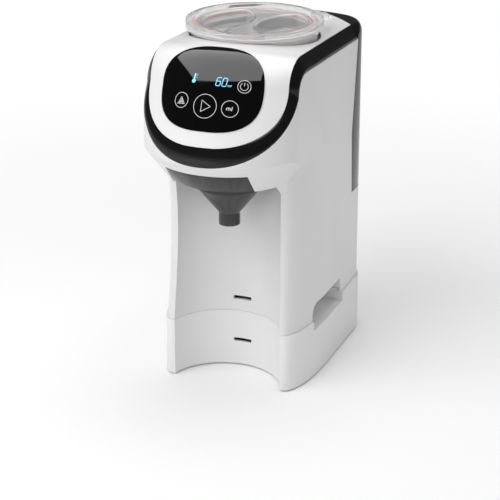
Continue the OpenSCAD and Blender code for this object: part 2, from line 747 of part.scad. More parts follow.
// One cross-section of the band, from its inner edge to its outer edge
function band_inward(p) = p[1] < head_cy
    ? [-p[0], head_cy - p[1], 0] / norm([p[0], head_cy - p[1]]) : [-1, 0, 0];
function rim_height(y) = lookup(y, [for (i = [0:46]) let(p = rim_out(band_station(i))) [p[1], p[2]]]);
function band_row(s, depth_in) = let(a = rim_in(s), b = rim_out(s), w = band_inward(b))
    [for (j = [0:4]) let(f = j / 4, puff = band_puff * sin(180 * f),
                         p = a * (1 - f) + b * f + puff * ([0, 0, 1] - w) + depth_in * (w * f - [0, 0, 1 - f]))
        [p[0], p[1], depth_in > 0 ? max(p[2], rim_height(p[1])) : p[2]]];
function band_station(i) = let(k = abs(i)) k <= 40 ? k / 20 : 2 + (k - 40) / 6;
function band_grid(depth_in) = [for (i = [-46:46])
    [for (p = band_row(band_station(i), depth_in)) [i < 0 ? -p[0] : p[0], p[1], p[2]]]];

module trim_band() color([0.06, 0.06, 0.07]) docked()
    grid_shell(band_grid(0), band_grid(band_t));

// Frame on the face: origin on the middle line at panel_z, +Z out along the face's normal
module on_face() {
    translate([0, face_line(panel_z), panel_z]) rotate([90 - face_lean, 0, 0]) children();
}

module touch_panel() color([0.05, 0.05, 0.06]) docked() intersection() {
    grid_shell(
        [for (i = [6:26]) [for (j = [-6:6]) skin_in(i / 13, j / 6, -panel_t)]],
        [for (i = [6:26]) [for (j = [-6:6]) skin_in(i / 13, j / 6, -0.05)]]);
    on_face() translate([0, 0, -40]) linear_extrude(80)
        polygon([for (a = [0:5:355]) [panel_half_w * sign(cos(a)) * pow(abs(cos(a)), 2 / 2.6),
                                      panel_half_h * sign(sin(a)) * pow(abs(sin(a)), 2 / 2.6)]]);
}

module panel_bracket() color([0.75, 0.75, 0.76]) docked() {
    foot_y = face_line(panel_z) + 4.5;
    for (side = [-1, 1]) {
        x0 = side * bracket_x - bracket_w / 2;
        x1 = x0 + bracket_w;
        on_face() translate([x0, -board_h / 2 - board_drop - 2, -board_in - bracket_t])
            cube([bracket_w, board_h + 4, bracket_t]);
        box([x0, foot_y, gear_floor_z], [x1, foot_y + bracket_t, panel_z - 35]);
        box([x0, foot_y, gear_floor_z], [x1, foot_y + 14, gear_floor_z + bracket_t]);
    }
}

module control_board() color([0.1, 0.35, 0.2]) docked() on_face()
    translate([-board_w / 2, -board_h / 2 - board_drop, -board_in]) difference() {
        cube([board_w, board_h, board_t]);
        for (x = [board_hole_in, board_w - board_hole_in], y = [board_hole_in, board_h - board_hole_in])
            translate([x, y, -cut]) cylinder(r = 1.6, h = board_t + 2 * cut);
    }

module display_module() color([0.1, 0.12, 0.14]) docked() on_face()
    translate([-display_w / 2, 4 - board_drop, board_t - board_in]) cube([display_w, display_h, display_t]);

module base_plate() color([0.85, 0.85, 0.86]) docked() difference() {
    union() {
        difference() {
            slab(body_plan(0, wall + seat_gap, inside_z), base_plate_z, inside_z);
            bay_block(wall + seat_gap);
            for (side = [-1, 1]) gap_block(side, wall + seat_gap);
        }
        box([-key_w / 2, key_y, -3], [key_w / 2, key_y + key_d, base_plate_z + cut]);
        for (p = foot_spots) post(p, foot_r + 1, plateau_h, base_plate_z + cut);
    }
    for (p = foot_spots) post(p, stud_r, 0, far);
    for (p = concat(boss_spots, post_spots)) post(p, screw_hole_r, 0, far);
}

module base_feet() color([0.25, 0.25, 0.26]) docked() for (p = foot_spots) {
    post(p, foot_r, -foot_drop, plateau_h);
    post(p, stud_r - run_gap, plateau_h, inside_z);
}

module base_screws() color([0.7, 0.7, 0.72]) docked() for (p = concat(boss_spots, post_spots)) {
    post(p, screw_r, plateau_h, base_plate_z);
    post(p, screw_hole_r - run_gap, base_plate_z, inside_z + 9);
}

// ---------- inner frame and drive ----------

module chassis_frame() color([0.6, 0.6, 0.62]) docked() difference() {
    union() {
        intersection() {
            body_block(wall + seat_gap, 0);
            box([-far, nose_y + frame_front_in, plate_z],
                [far, rear_y - tank_deep_in - tank_gap - wall - 1, gear_floor_z]);
        }
        for (p = post_spots) post(p, post_r, inside_z, plate_z + cut);
    }
    post([0, chute_y], dose_pocket_r + 4 + seat_gap, plate_z - cut, far);
    post(pinion_at, shaft_d + 2, plate_z - cut, far);
    post(spout_at, hose_d / 2 + 1, plate_z - cut, far);
    post(heater_at, hose_d / 2 + 1, plate_z - cut, far);
    for (p = post_spots) post(p, screw_hole_r, 0, inside_z + 10);
}

module container_well() color([0.88, 0.88, 0.9]) docked() difference() {
    union() {
        tube([0, bowl_y], well_r + well_wall, well_r, well_floor_z, deck_edge_z - deck_fall - 6);
        post([0, bowl_y], well_r + well_wall, well_floor_z, well_floor_z + well_floor_t);
        for (a = well_feet) translate([0, bowl_y]) rotate(a)
            post([well_r - 3, 0], 4, gear_floor_z, well_floor_z + cut);
    }
    post([0, bowl_y], hex_af, 0, far);
    post([0, chute_y], dose_pocket_r + 1, 0, far);
}

module gearbox_outline(grow) {
    translate([0, bowl_y]) circle(r = out_pitch + gear_m + 1 + grow);
    translate(idler_at) circle(r = idler_pitch + gear_m + 1 + grow);
    translate(pinion_at) circle(r = pinion_pitch + gear_m + 1 + grow);
}

module gearbox_case() color([0.3, 0.31, 0.33]) docked() difference() {
    translate([0, 0, gear_floor_z]) linear_extrude(gear_roof_z - gear_floor_z) gearbox_outline(2);
    translate([0, 0, gear_floor_z + 2]) linear_extrude(20) gearbox_outline(0);
    post([0, bowl_y], 4 + run_gap, 0, far);
    post(idler_at, axle_d / 2 + run_gap, 0, far);
    post(pinion_at, shaft_d / 2 + 1, 0, far);
}

module gearbox_cover() color([0.34, 0.35, 0.37]) docked() difference() {
    translate([0, 0, gear_roof_z]) linear_extrude(roof_t) gearbox_outline(2);
    post([0, bowl_y], hex_af * 0.75 + run_gap, 0, far);
    post(idler_at, axle_d / 2 + run_gap, 0, far);
}

module gear_motor() color([0.55, 0.56, 0.58]) docked() difference() {
    union() {
        post(pinion_at, motor_r, plate_z - motor_h, plate_z);
        post(pinion_at, 6, plate_z - motor_h - 3, plate_z);
    }
    post(pinion_at, shaft_d / 2 + run_gap, plate_z - motor_h / 2, far);
}

module motor_shaft() color([0.8, 0.8, 0.82]) docked()
    post(pinion_at, shaft_d / 2, plate_z - motor_h / 2 + seat_gap, gear_z + gear_w + 1);

module idler_axle() color([0.8, 0.8, 0.82]) docked()
    post(idler_at, axle_d / 2, gear_floor_z, gear_roof_z + roof_t);

// Involute spur gear, its teeth thinned by the backlash
function involute(rb, r) = let(t = sqrt(max(0, r * r / (rb * rb) - 1)))
    t * 180 / PI - atan(t);
module gear_profile(teeth, start) {
    r = gear_m * teeth / 2;
    rb = r * cos(gear_pressure);
    tip = r + 0.9 * gear_m;
    root = r - 1.2 * gear_m;
    thin = backlash / r * 180 / PI;
    half = 90 / teeth - thin + involute(rb, r);
    low = max(rb, root);
    flank = [for (i = [0:5]) let(q = low + (tip - low) * i / 5) [q, half - involute(rb, q)]];
    tooth = concat([[root, flank[0][1]]], flank);
    rotate(start) polygon([for (k = [0:teeth - 1]) let(mid = 360 * k / teeth) each concat(
        [for (p = tooth) p[0] * [cos(mid - p[1]), sin(mid - p[1])]],
        [for (i = [len(tooth) - 1:-1:0]) tooth[i][0] * [cos(mid + tooth[i][1]), sin(mid + tooth[i][1])]])]);
}

module output_gear() color([0.92, 0.92, 0.9]) docked() translate([0, bowl_y]) difference() {
    union() {
        translate([0, 0, gear_z]) linear_extrude(gear_w) gear_profile(out_teeth, idler_dir);
        post([0, 0], hex_af * 0.75, gear_z, gear_roof_z + roof_t + 0.5);
        post([0, 0], 4, gear_floor_z + seat_gap, gear_z + cut);
        translate([0, 0, gear_roof_z]) cylinder(d = hex_af / cos(30), h = dog_top_z - gear_roof_z, $fn = 6);
    }
    for (a = [0:60:300]) rotate(a) post([out_pitch * 0.62, 0], 5, gear_z - cut, gear_z + gear_w + cut);
}

module idler_gear() color([0.9, 0.88, 0.8]) docked() translate(idler_at) difference() {
    union() {
        translate([0, 0, gear_z]) linear_extrude(gear_w) gear_profile(idler_teeth, idler_start);
        post([0, 0], 7, gear_floor_z + 2 + seat_gap, gear_roof_z - seat_gap);
    }
    post([0, 0], axle_d / 2 + run_gap, 0, far);
}

module motor_pinion() color([0.85, 0.7, 0.35]) docked() translate(pinion_at) difference() {
    union() {
        translate([0, 0, gear_z]) linear_extrude(gear_w) gear_profile(pinion_teeth, pinion_start);
        post([0, 0], 5, gear_z - 1.5, gear_z + cut);
    }
    post([0, 0], shaft_d / 2 + 0.02, 0, far);
}

// ---------- water and powder path ----------

module water_heater() color([0.75, 0.72, 0.68]) docked() difference() {
    inlet = [heater_at[0] + heater_r - 4, heater_at[1], hose_z];
    union() {
        post(heater_at, heater_r, heater_z, heater_z + heater_h);
        post(heater_at, heater_r + flange_w, heater_z, heater_z + 3);
        post(heater_at, barb_r, heater_z + heater_h - cut, heater_z + heater_h + 8);
        translate(inlet) rotate([0, 90, 0]) cylinder(r = barb_r, h = 4 + barb_len);
    }
    post(heater_at, 1.5, heater_z + heater_h - 8, far);
    translate(inlet) rotate([0, 90, 0]) cylinder(r = 1.5, h = 4 + barb_len + cut);
}

module water_pump() color([0.2, 0.22, 0.25]) docked() difference() {
    outlet = [pump_at[0] - pump_r - barb_len, pump_at[1], hose_z];
    union() {
        post(pump_at, pump_r, pump_z, pump_z + pump_h);
        post(pump_at, pump_r + flange_w, pump_z, pump_z + 3);
        post(pump_at, barb_r, pump_z + pump_h - cut, pump_z + pump_h + 8);
        translate(outlet) rotate([0, 90, 0]) cylinder(r = barb_r, h = barb_len + 4);
    }
    post(pump_at, 1.5, pump_z + pump_h - 8, far);
    translate(outlet - [cut, 0, 0]) rotate([0, 90, 0]) cylinder(r = 1.5, h = barb_len + cut + 4);
}

module pump_mounts() color([0.15, 0.15, 0.16]) docked()
    for (a = [45:90:315]) translate([pump_at[0], pump_at[1]]) rotate(a)
        post([pump_r - 5, 0], 4, inside_z, inside_z + mount_h);

module power_board() color([0.1, 0.35, 0.2]) docked() {
    face_y = power_y + board_t;
    box([-power_w / 2, power_y, inside_z], [power_w / 2, power_y + 3, inside_z + 4]);
    box([-power_w / 2, power_y, inside_z + 4], [power_w / 2, face_y, inside_z + power_h]);
    box([-power_w / 3, face_y, inside_z + 14], [4, face_y + 16, inside_z + 42]);
    post([16, face_y + 8], 7, inside_z + 20, inside_z + 46);
    box([10, face_y, inside_z + 28], [22, face_y + 3, inside_z + 38]);
}

// Straight run of a hose from `at`, along +Z turned by `turn`
module run(at, turn, length) {
    translate(at) rotate(turn) tube([0, 0], hose_d / 2, hose_bore / 2, 0, length);
}

// Quarter bend from +Z round towards +X, starting at the origin
module bend(r) {
    rotate([90, 0, 0]) translate([r, 0, 0]) rotate([0, 0, 90]) rotate_extrude(angle = 90)
        translate([r, 0]) difference() {
            circle(d = hose_d, $fn = 32);
            circle(d = hose_bore, $fn = 32);
        }
}

module pump_hose() color([0.85, 0.87, 0.88]) docked() {
    // up from the pump, then back to the tank's socket
    low = pump_z + pump_h + seat_gap;
    top = spigot_z - hose_bend;
    run([pump_at[0], pump_at[1], low], 0, top - low);
    translate([pump_at[0], pump_at[1], top]) rotate(90) bend(hose_bend);
    run([pump_at[0], pump_at[1] + hose_bend, spigot_z], [-90, 0, 0],
        socket_y - socket_len - seat_gap - pump_at[1] - hose_bend);
}

module heater_hose() color([0.85, 0.87, 0.88]) docked() {
    // across from the pump's outlet to the heater's inlet
    x0 = heater_at[0] + heater_r + seat_gap;
    run([x0, heater_at[1], hose_z], [0, 90, 0], pump_at[0] - pump_r - seat_gap - x0);
}

module spout_pipe() color([0.8, 0.81, 0.83]) docked() {
    // up from the heater, forward over the frame and down above the funnel
    way = spout_at - heater_at;
    low = heater_z + heater_h + seat_gap;
    run([heater_at[0], heater_at[1], low], 0, spout_z - spout_bend - low);
    translate([heater_at[0], heater_at[1], 0]) rotate(atan2(way[1], way[0])) {
        translate([0, 0, spout_z - spout_bend]) bend(spout_bend);
        run([spout_bend, 0, spout_z], [0, 90, 0], norm(way) - 2 * spout_bend);
        translate([norm(way), 0, spout_z - spout_bend]) mirror([1, 0, 0]) bend(spout_bend);
        run([norm(way), 0, plate_z - 4], 0, spout_z - spout_bend - plate_z + 4);
    }
}

module powder_chute() color([0.9, 0.9, 0.9]) docked() {
    tube([0, chute_y], dose_pocket_r + 4, dose_pocket_r + 1.5, plate_z - 2, well_floor_z);
    tube([0, chute_y], dose_pocket_r + 8, dose_pocket_r + 1.5, plate_z - 2, plate_z);
}

module tank_socket() color([0.8, 0.8, 0.82]) docked()
    translate([0, socket_y, spigot_z]) rotate([90, 0, 0]) difference() {
        union() {
            cylinder(r = socket_r, h = socket_len);
            translate([0, 0, wall + 0.6]) cylinder(r = socket_r + 3.5, h = 2.5);
            cylinder(r = barb_r, h = socket_len + 8);
        }
        translate([0, 0, -cut]) cylinder(r = spigot_r + 2.5, h = spigot_len + cut + 0.5);
        translate([0, 0, -cut]) cylinder(r = 1.5, h = far);
    }

module socket_seal() color([0.85, 0.45, 0.4]) docked()
    translate([0, socket_y - spigot_len / 2, spigot_z]) rotate([90, 0, 0])
        difference() {
            cylinder(r = spigot_r + 2.5 - run_gap, h = 4);
            translate([0, 0, -cut]) cylinder(r = spigot_r + seat_gap, h = 4 + 2 * cut);
        }

module drawer_rails() color([0.7, 0.7, 0.72]) docked() for (side = [-1, 1])
    mirror([side < 0 ? 1 : 0, 0, 0])
        box([drawer_half_w + slide_gap, leg_y - 18, drawer_z],
            [drawer_half_w + slide_gap + 4, bay_y + bay_r + 4, drawer_z + 6]);

module power_inlet() color([0.1, 0.1, 0.11]) docked() difference() {
    y1 = rear_cy + sqrt(pow(rear_r - wall, 2) - pow(inlet_x + 14, 2)) - seat_gap;
    union() {
        box([inlet_x - 11.6, y1 - 18, inlet_z - 6.6], [inlet_x + 11.6, y1 + 1.5, inlet_z + 6.6]);
        box([inlet_x - 14, y1 - 2.5, inlet_z - 9], [inlet_x + 14, y1, inlet_z + 9]);
    }
    box([inlet_x - 9, y1 - 12, inlet_z - 4.5], [inlet_x + 9, y1 + 2 * cut, inlet_z + 4.5]);
}

// ---------- container, lid and stirrer ----------

module powder_container() color([0.85, 0.88, 0.9, 0.5]) docked() difference() {
    union() {
        post([0, bowl_y], bowl_r, bowl_z, rim_z);
        post([0, bowl_y], rim_r, rim_z - rim_t, rim_z);
    }
    post([0, bowl_y], bowl_r - bowl_wall, bowl_z + floor_t, far);
    post([0, bowl_y], hex_af * 0.75 + 2, 0, far);
    post([0, chute_y], dose_pocket_r, 0, far);
}

module outlet_seal() color([0.85, 0.45, 0.4]) docked()
    tube([0, chute_y], dose_pocket_r - run_gap, dose_pocket_r - 1.5, bowl_z, bowl_z + floor_t);

// Silicone blade over the outlet that stops powder from falling straight through
module powder_scraper() color([0.85, 0.4, 0.38]) docked() intersection() {
    tube([0, bowl_y], bowl_r - bowl_wall - 0.05, 26, scraper_z, scraper_z + 3);
    translate([0, bowl_y]) rotate(-90) linear_extrude(far)
        polygon([[0, 0], far * [cos(26), -sin(26)], far * [cos(26), sin(26)]]);
}

module dosing_wheel() color([0.95, 0.95, 0.95]) docked() difference() {
    union() {
        post([0, bowl_y], dose_r, wheel_z, wheel_z + wheel_t);
        post([0, bowl_y], hex_af * 0.75 + 1.5, wheel_z - floor_t, wheel_z);
        post([0, bowl_y], 14, wheel_z, stir_z);
    }
    translate([0, bowl_y]) for (i = [0:dose_n - 1]) rotate(-90 + 360 * i / dose_n)
        post([outlet_off, 0], dose_pocket_r, 0, far);
    translate([0, bowl_y, 0])
        cylinder(d = hex_af / cos(30) + 2 * slide_gap, h = dog_top_z + seat_gap, $fn = 6);
}

module stirrer() color([0.85, 0.4, 0.38]) docked() translate([0, bowl_y]) {
    difference() {
        post([0, 0], 12, stir_z, stir_z + stir_h);
        post([0, 0], 8, stir_z + 4, far);
    }
    for (a = [20:120:260]) rotate(a) {
        box([11, -2, stir_z + 2], [bowl_r - bowl_wall - 3, 2, stir_z + 7]);
        box([bowl_r - bowl_wall - 7, -2, stir_z + 7], [bowl_r - bowl_wall - 3, 2, stir_z + stir_h]);
        box([11, -2, stir_z + stir_h - 6], [bowl_r / 2, 2, stir_z + stir_h - 2]);
    }
}

module lid_seal() color([0.85, 0.45, 0.4]) docked()
    tube([0, bowl_y], bowl_r - bowl_wall - seat_gap, bowl_r - bowl_wall - 2.5, rim_z - 4, rim_z);

// Half-moon finger pocket on one side of the fin
module grip_pocket(side, grow, low, high) intersection() {
    post([0, bowl_y], lid_well_r - 7 + grow, low, high);
    mirror([side < 0 ? 1 : 0, 0, 0]) box([fin_t / 2 - grow, bowl_y - far, low], [far, bowl_y + far, high]);
    translate([side * 62, bowl_y, 0]) post([0, 0], 58 + grow, low, high);
}

module container_lid() color([0.85, 0.88, 0.9, 0.5]) docked() {
    t = 2;
    difference() {
        union() {
            post([0, bowl_y], lid_r, lid_top_z - lid_h, lid_top_z);
            for (side = [-1, 1]) grip_pocket(side, t, lid_top_z - grip_depth - t, lid_top_z - 3);
            tube([0, bowl_y], bowl_r - bowl_wall - 3, bowl_r - bowl_wall - 5, rim_z - 5, rim_z + 1);
        }
        difference() {
            post([0, bowl_y], rim_r + slide_gap, 0, rim_z + seat_gap);
            for (side = [-1, 1]) grip_pocket(side, t, 0, lid_top_z);
            tube([0, bowl_y], bowl_r - bowl_wall - 3, bowl_r - bowl_wall - 5, 0, lid_top_z);
        }
        post([0, bowl_y], lid_well_r, lid_top_z - 3, lid_top_z + cut);
        for (side = [-1, 1]) grip_pocket(side, 0, lid_top_z - grip_depth, lid_top_z + cut);
    }
    translate([0, bowl_y]) rotate(tab_angle)
        box([lid_r - 1, -9, lid_top_z - 7], [lid_r + 12, 9, lid_top_z - 3]);
}

// ---------- tank ----------

function tank_profile(inset) = [
    [rear_y - tank_low_in + inset, tank_z + inset],
    [rear_y - tank_deep_in + inset, tank_deep_z],
    [rear_y - (tank_top_in + tank_deep_in) / 2 + inset, (tank_top_z + tank_deep_z) / 2],
    [rear_y - tank_top_in + inset, tank_top_z - inset],
    [rear_y + far, tank_top_z - inset],
    [rear_y + far, tank_z + inset]];

module behind_deck(grow) difference() {
    box([-far, 0, 0], [far, far, far]);
    post([0, deck_cy], deck_r + grow, -cut, far + cut);
}

// The tank's filling mouth, made smaller all round by inset
module mouth_block(inset, low, high) intersection() {
    slab(body_plan(0, tank_wall + 1.5 + inset), low, high);
    behind_deck(tank_wall + 3 + inset);
    box([-far, mouth_y + inset, low], [far, far, high]);
}

module water_tank() color([0.25, 0.26, 0.28, 0.6]) docked() difference() {
    union() {
        intersection() {
            slab(body_plan(0, 0), tank_z, tank_top_z);
            side_slab(tank_profile(0), far);
        }
        translate([0, tank_low_y + tank_wall, spigot_z]) rotate([90, 0, 0])
            cylinder(r = spigot_r, h = spigot_len + tank_wall);
    }
    intersection() {
        slab(body_plan(0, tank_wall), tank_z, tank_top_z);
        side_slab(tank_profile(tank_wall), far);
    }
    mouth_block(0, tank_top_z - tank_wall - cut, tank_top_z + cut);
    translate([0, tank_low_y + tank_wall + cut, spigot_z]) rotate([90, 0, 0])
        cylinder(r = spigot_r - 2, h = spigot_len + 10);
}

module tank_lid() color([0.06, 0.06, 0.07]) docked() {
    low = tank_top_z + seat_gap;
    difference() {
        intersection() {
            stack([body_plan(0, 0), body_plan(0, 0), body_plan(0, band_w)],
                  [low, low + 3, tank_top_z + tank_lid_h]);
            behind_deck(seat_gap * 2);
            box([-far, deck_corner_y + 2.5, 0], [far, far, far]);
        }
        intersection() {
            slab(body_plan(0, band_w + 2.5), 0, tank_top_z + tank_lid_h - 2.5);
            behind_deck(3);
            box([-far, mouth_y + slide_gap + 2, 0], [far, far, far]);
        }
    }
    difference() {
        mouth_block(slide_gap, tank_top_z - 6, tank_top_z + 5);
        mouth_block(slide_gap + 2, 0, far);
    }
}

module tank_lid_seal() color([0.2, 0.2, 0.21]) docked() difference() {
    mouth_block(-1.4, tank_top_z, tank_top_z + seat_gap);
    mouth_block(-0.1, 0, far);
}

module tank_filter() color([0.3, 0.32, 0.35]) docked()
    translate([0, tank_low_y + tank_wall, spigot_z]) rotate([-90, 0, 0]) difference() {
        cylinder(r = spigot_r + 1, h = 12);
        translate([0, 0, -cut]) cylinder(r = spigot_r - 1, h = 11 + cut);
        for (a = [0:45:315]) rotate(a) translate([spigot_r - 2, -1.2, 2]) cube([4, 2.4, 7]);
    }

module float_rail() color([0.8, 0.82, 0.84]) docked() {
    post(float_at, 3, tank_z + tank_wall, tank_top_z - 14);
    post(float_at, 9, tank_z + tank_wall, tank_z + tank_wall + 2);
    post(float_at, 6, tank_top_z - 14, tank_top_z - 12);
}

module tank_float() color([0.9, 0.55, 0.2]) docked()
    tube(float_at, 9, 3 + slide_gap, tank_z + tank_wall + 2 + seat_gap, tank_z + tank_wall + 20);

// ---------- drawer ----------

// Cone the chin belongs to, made smaller by inset
module chin_cone(inset) {
    translate([0, head_cy, bay_h - cut])
        cylinder(r1 = head_r - (band_tip_z - bay_h + cut) * tan(chin_angle) - inset / cos(chin_angle),
                 r2 = head_r - inset / cos(chin_angle), h = band_tip_z - bay_h + cut, $fn = 96);
}

module funnel_drawer() color([0.2, 0.21, 0.22, 0.85]) docked() {
    back = bay_y + bay_r + 4;
    // curved front
    difference() {
        intersection() {
            chin_cone(0);
            box([-drawer_half_w, nose_y, drawer_z], [drawer_half_w, leg_y - 8, drawer_z + drawer_h]);
        }
        chin_cone(wall);
    }
    difference() {
        intersection() {
            union() {
                box([-drawer_half_w, nose_y, bay_h - 0.5], [drawer_half_w, back, drawer_z - 0.5]);
                for (side = [-1, 1]) mirror([side < 0 ? 1 : 0, 0, 0])
                    box([drawer_half_w - funnel_wall, nose_y, bay_h - 0.5],
                        [drawer_half_w, back, drawer_z + drawer_h - 5]);
                box([-drawer_half_w, back - funnel_wall, bay_h - 0.5],
                    [drawer_half_w, back, drawer_z + drawer_h - 5]);
            }
            union() {
                chin_cone(wall - 0.5);
                box([-far, head_cy, 0], [far, far, far]);
            }
        }
        post([0, funnel_y], funnel_r + slide_gap, 0, far);
    }
}

module funnel() color([0.2, 0.21, 0.22, 0.85]) docked() translate([0, funnel_y])
    rotate_extrude($fn = 96) polygon([
        [neck_r - funnel_wall, neck_z],
        [neck_r, neck_z],
        [neck_r, neck_top_z],
        [funnel_r, cone_z],
        [funnel_r, drawer_z - 0.5],
        [funnel_r + 3, drawer_z - 0.5],
        [funnel_r + 3, drawer_z + 1.5],
        [funnel_r - funnel_wall, drawer_z + 1.5],
        [funnel_r - funnel_wall, cone_z + 0.8],
        [neck_r - funnel_wall, neck_top_z + 0.8]]);

// ---------- nodes ----------

riser_shell();
riser_liner();
riser_feet();
main_housing();
bay_liner();
top_cover();
trim_band();
touch_panel();
control_board();
display_module();
panel_bracket();
base_plate();
base_feet();
base_screws();
chassis_frame();
container_well();
gearbox_case();
gearbox_cover();
gear_motor();
idler_axle();
water_heater();
water_pump();
pump_mounts();
power_board();
pump_hose();
heater_hose();
spout_pipe();
powder_chute();
tank_socket();
socket_seal();
drawer_rails();
power_inlet();
output_gear();
idler_gear();
motor_pinion();
motor_shaft();
powder_container();
powder_scraper();
outlet_seal();
dosing_wheel();
stirrer();
lid_seal();
container_lid();
water_tank();
tank_filter();
float_rail();
tank_float();
tank_lid();
tank_lid_seal();
funnel_drawer();
funnel();
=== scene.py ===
"""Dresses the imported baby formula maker: its finishes, fine forms, studio and camera.

Every length is in metres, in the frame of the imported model: +Z up, -Y to the front, and the
origin on the table under the middle of the whole object.
"""

import json
import logging
import math
from collections.abc import Sequence
from dataclasses import dataclass, field
from enum import Enum

import bmesh
import bpy
from mathutils import Matrix, Vector

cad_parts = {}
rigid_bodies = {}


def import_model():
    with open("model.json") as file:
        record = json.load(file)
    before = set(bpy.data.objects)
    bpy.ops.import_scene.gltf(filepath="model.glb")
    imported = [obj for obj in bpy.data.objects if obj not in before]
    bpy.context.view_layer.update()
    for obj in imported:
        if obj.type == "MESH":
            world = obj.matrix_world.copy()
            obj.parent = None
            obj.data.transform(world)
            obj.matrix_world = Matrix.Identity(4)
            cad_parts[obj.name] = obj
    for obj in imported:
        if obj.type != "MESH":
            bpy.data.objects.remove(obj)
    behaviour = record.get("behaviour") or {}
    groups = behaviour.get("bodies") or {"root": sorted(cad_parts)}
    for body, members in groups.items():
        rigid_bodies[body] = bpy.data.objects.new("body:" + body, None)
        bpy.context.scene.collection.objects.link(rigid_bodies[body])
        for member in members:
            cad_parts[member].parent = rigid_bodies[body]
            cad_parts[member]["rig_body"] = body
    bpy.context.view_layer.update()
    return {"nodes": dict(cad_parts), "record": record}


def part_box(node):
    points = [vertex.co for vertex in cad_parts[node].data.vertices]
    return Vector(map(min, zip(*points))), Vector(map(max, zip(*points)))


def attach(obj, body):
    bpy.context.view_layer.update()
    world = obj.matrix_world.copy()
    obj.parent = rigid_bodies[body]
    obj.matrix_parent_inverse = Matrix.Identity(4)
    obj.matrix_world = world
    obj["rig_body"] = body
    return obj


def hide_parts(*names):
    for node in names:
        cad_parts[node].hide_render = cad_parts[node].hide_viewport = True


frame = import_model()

log = logging.getLogger("formula_maker")

Point = tuple[float, float]
Triple = tuple[float, float, float]
Piece = bpy.types.Object
Socket = bpy.types.NodeSocket

MM = 0.001
TOOL_TOP = 0.6  # height of the cutting tools, above every piece
TOOL_HALF = 0.2  # half their width, past both sides of the machine


# ------------ shader groups


class NodeSketch:
    """Adds and wires nodes in one node tree.

    Args:
        tree: The node tree that is filled.
    """

    def __init__(self, tree: bpy.types.NodeTree) -> None:
        """Keeps the tree."""
        self.tree = tree

    def add(self, kind: str, inputs: dict[str | int, object] | None = None,
            **settings: object) -> bpy.types.Node:
        """Adds one node.

        Args:
            kind: The node's type name without its "ShaderNode" prefix, or the full name.
            inputs: Input name or number to a socket to link from, or a plain value.
            **settings: The node's own properties.

        Returns:
            The new node.
        """
        node = self.tree.nodes.new(kind if kind.startswith("Node") else "ShaderNode" + kind)
        for key, value in settings.items():
            setattr(node, key, value)
        for key, value in (inputs or {}).items():
            if isinstance(value, Socket):
                self.tree.links.new(value, node.inputs[key])
            else:
                node.inputs[key].default_value = value
        return node

    def maths(self, operation: str, a: object, b: object = 0.0, c: object = 0.0) -> Socket:
        """Adds a Math node and returns its output."""
        return self.add("Math", {0: a, 1: b, 2: c}, operation=operation).outputs[0]


class SurfaceGroup:
    """A shader effect that several finishes share, as a node group.

    Args:
        name: The group's name.
        inputs: Socket name to its default value.
        outputs: The output sockets' names.
    """

    def __init__(self, name: str, inputs: dict[str, object], outputs: Sequence[str]) -> None:
        """Makes the group's sockets."""
        self.tree = bpy.data.node_groups.new(name, "ShaderNodeTree")
        for way, label in [("INPUT", x) for x in inputs] + [("OUTPUT", x) for x in outputs]:
            kind = "NodeSocketColor" if label == "Colour" else "NodeSocketFloat"
            socket = self.tree.interface.new_socket(label, in_out=way, socket_type=kind)
            if way == "INPUT":
                socket.default_value = inputs[label]
        self.sketch = NodeSketch(self.tree)
        self.given = self.sketch.add("NodeGroupInput").outputs
        self.result = self.sketch.add("NodeGroupOutput").inputs
        self.place = self.sketch.add("TexCoord").outputs["Object"]

    def give(self, label: str, value: Socket) -> None:
        """Sends a value out of the group."""
        self.tree.links.new(value, self.result[label])

    def noise(self, scale: object, detail: float, **inputs: object) -> Socket:
        """Adds a noise in the object's own space, unless another vector is given."""
        node = self.sketch.add("TexNoise", {"Vector": self.place, "Scale": scale, "Detail": detail,
                                            **inputs})
        return node.outputs["Fac"]

    def drawn(self, scale: Triple, turn: Triple = (0, 0, 0)) -> Socket:
        """Returns the object's own space, stretched and turned."""
        return self.sketch.add("Mapping", {"Vector": self.place, "Scale": scale,
                                           "Rotation": turn}).outputs[0]

    def vary(self, pattern: Socket, drift: object, spread: object) -> None:
        """Lets a pattern shift the colour and the roughness.

        Args:
            pattern: The pattern, from 0 to 1.
            drift: Share by which the colour shifts.
            spread: How far the roughness shifts.
        """
        centred = self.sketch.maths("SUBTRACT", pattern, 0.5)
        shade = self.sketch.maths("MULTIPLY_ADD", centred, drift, 1.0)
        tinted = self.sketch.add("VectorMath", {0: self.given["Colour"], "Scale": shade},
                                 operation="SCALE")
        self.give("Colour", tinted.outputs[0])
        self.give("Roughness", self.sketch.maths("MULTIPLY_ADD", centred, spread,
                                                 self.given["Roughness"]))


def moulded_grain() -> bpy.types.NodeTree:
    """Fine grain of a moulded surface with a slow drift of its colour and gloss."""
    group = SurfaceGroup("moulded_grain", {
        "Colour": (0.8, 0.8, 0.8, 1), "Drift": 0.03, "Grain Scale": 1800.0, "Roughness": 0.4,
        "Spread": 0.06}, ("Colour", "Roughness", "Height"))
    group.vary(group.noise(14.0, 2.0), group.given["Drift"], group.given["Spread"])
    group.give("Height", group.noise(group.given["Grain Scale"], 3.0))
    return group.tree


def brushed_streaks() -> bpy.types.NodeTree:
    """Streaks of a turned or brushed metal, drawn out along X and Y."""
    group = SurfaceGroup("brushed_streaks", {
        "Colour": (0.6, 0.6, 0.6, 1), "Roughness": 0.3, "Streak Scale": 400.0},
        ("Colour", "Roughness", "Height"))
    streak = group.noise(group.given["Streak Scale"], 4.0, Vector=group.drawn((0.15, 0.15, 3.0)))
    group.vary(streak, 0.2, 0.3)
    group.give("Height", streak)
    return group.tree


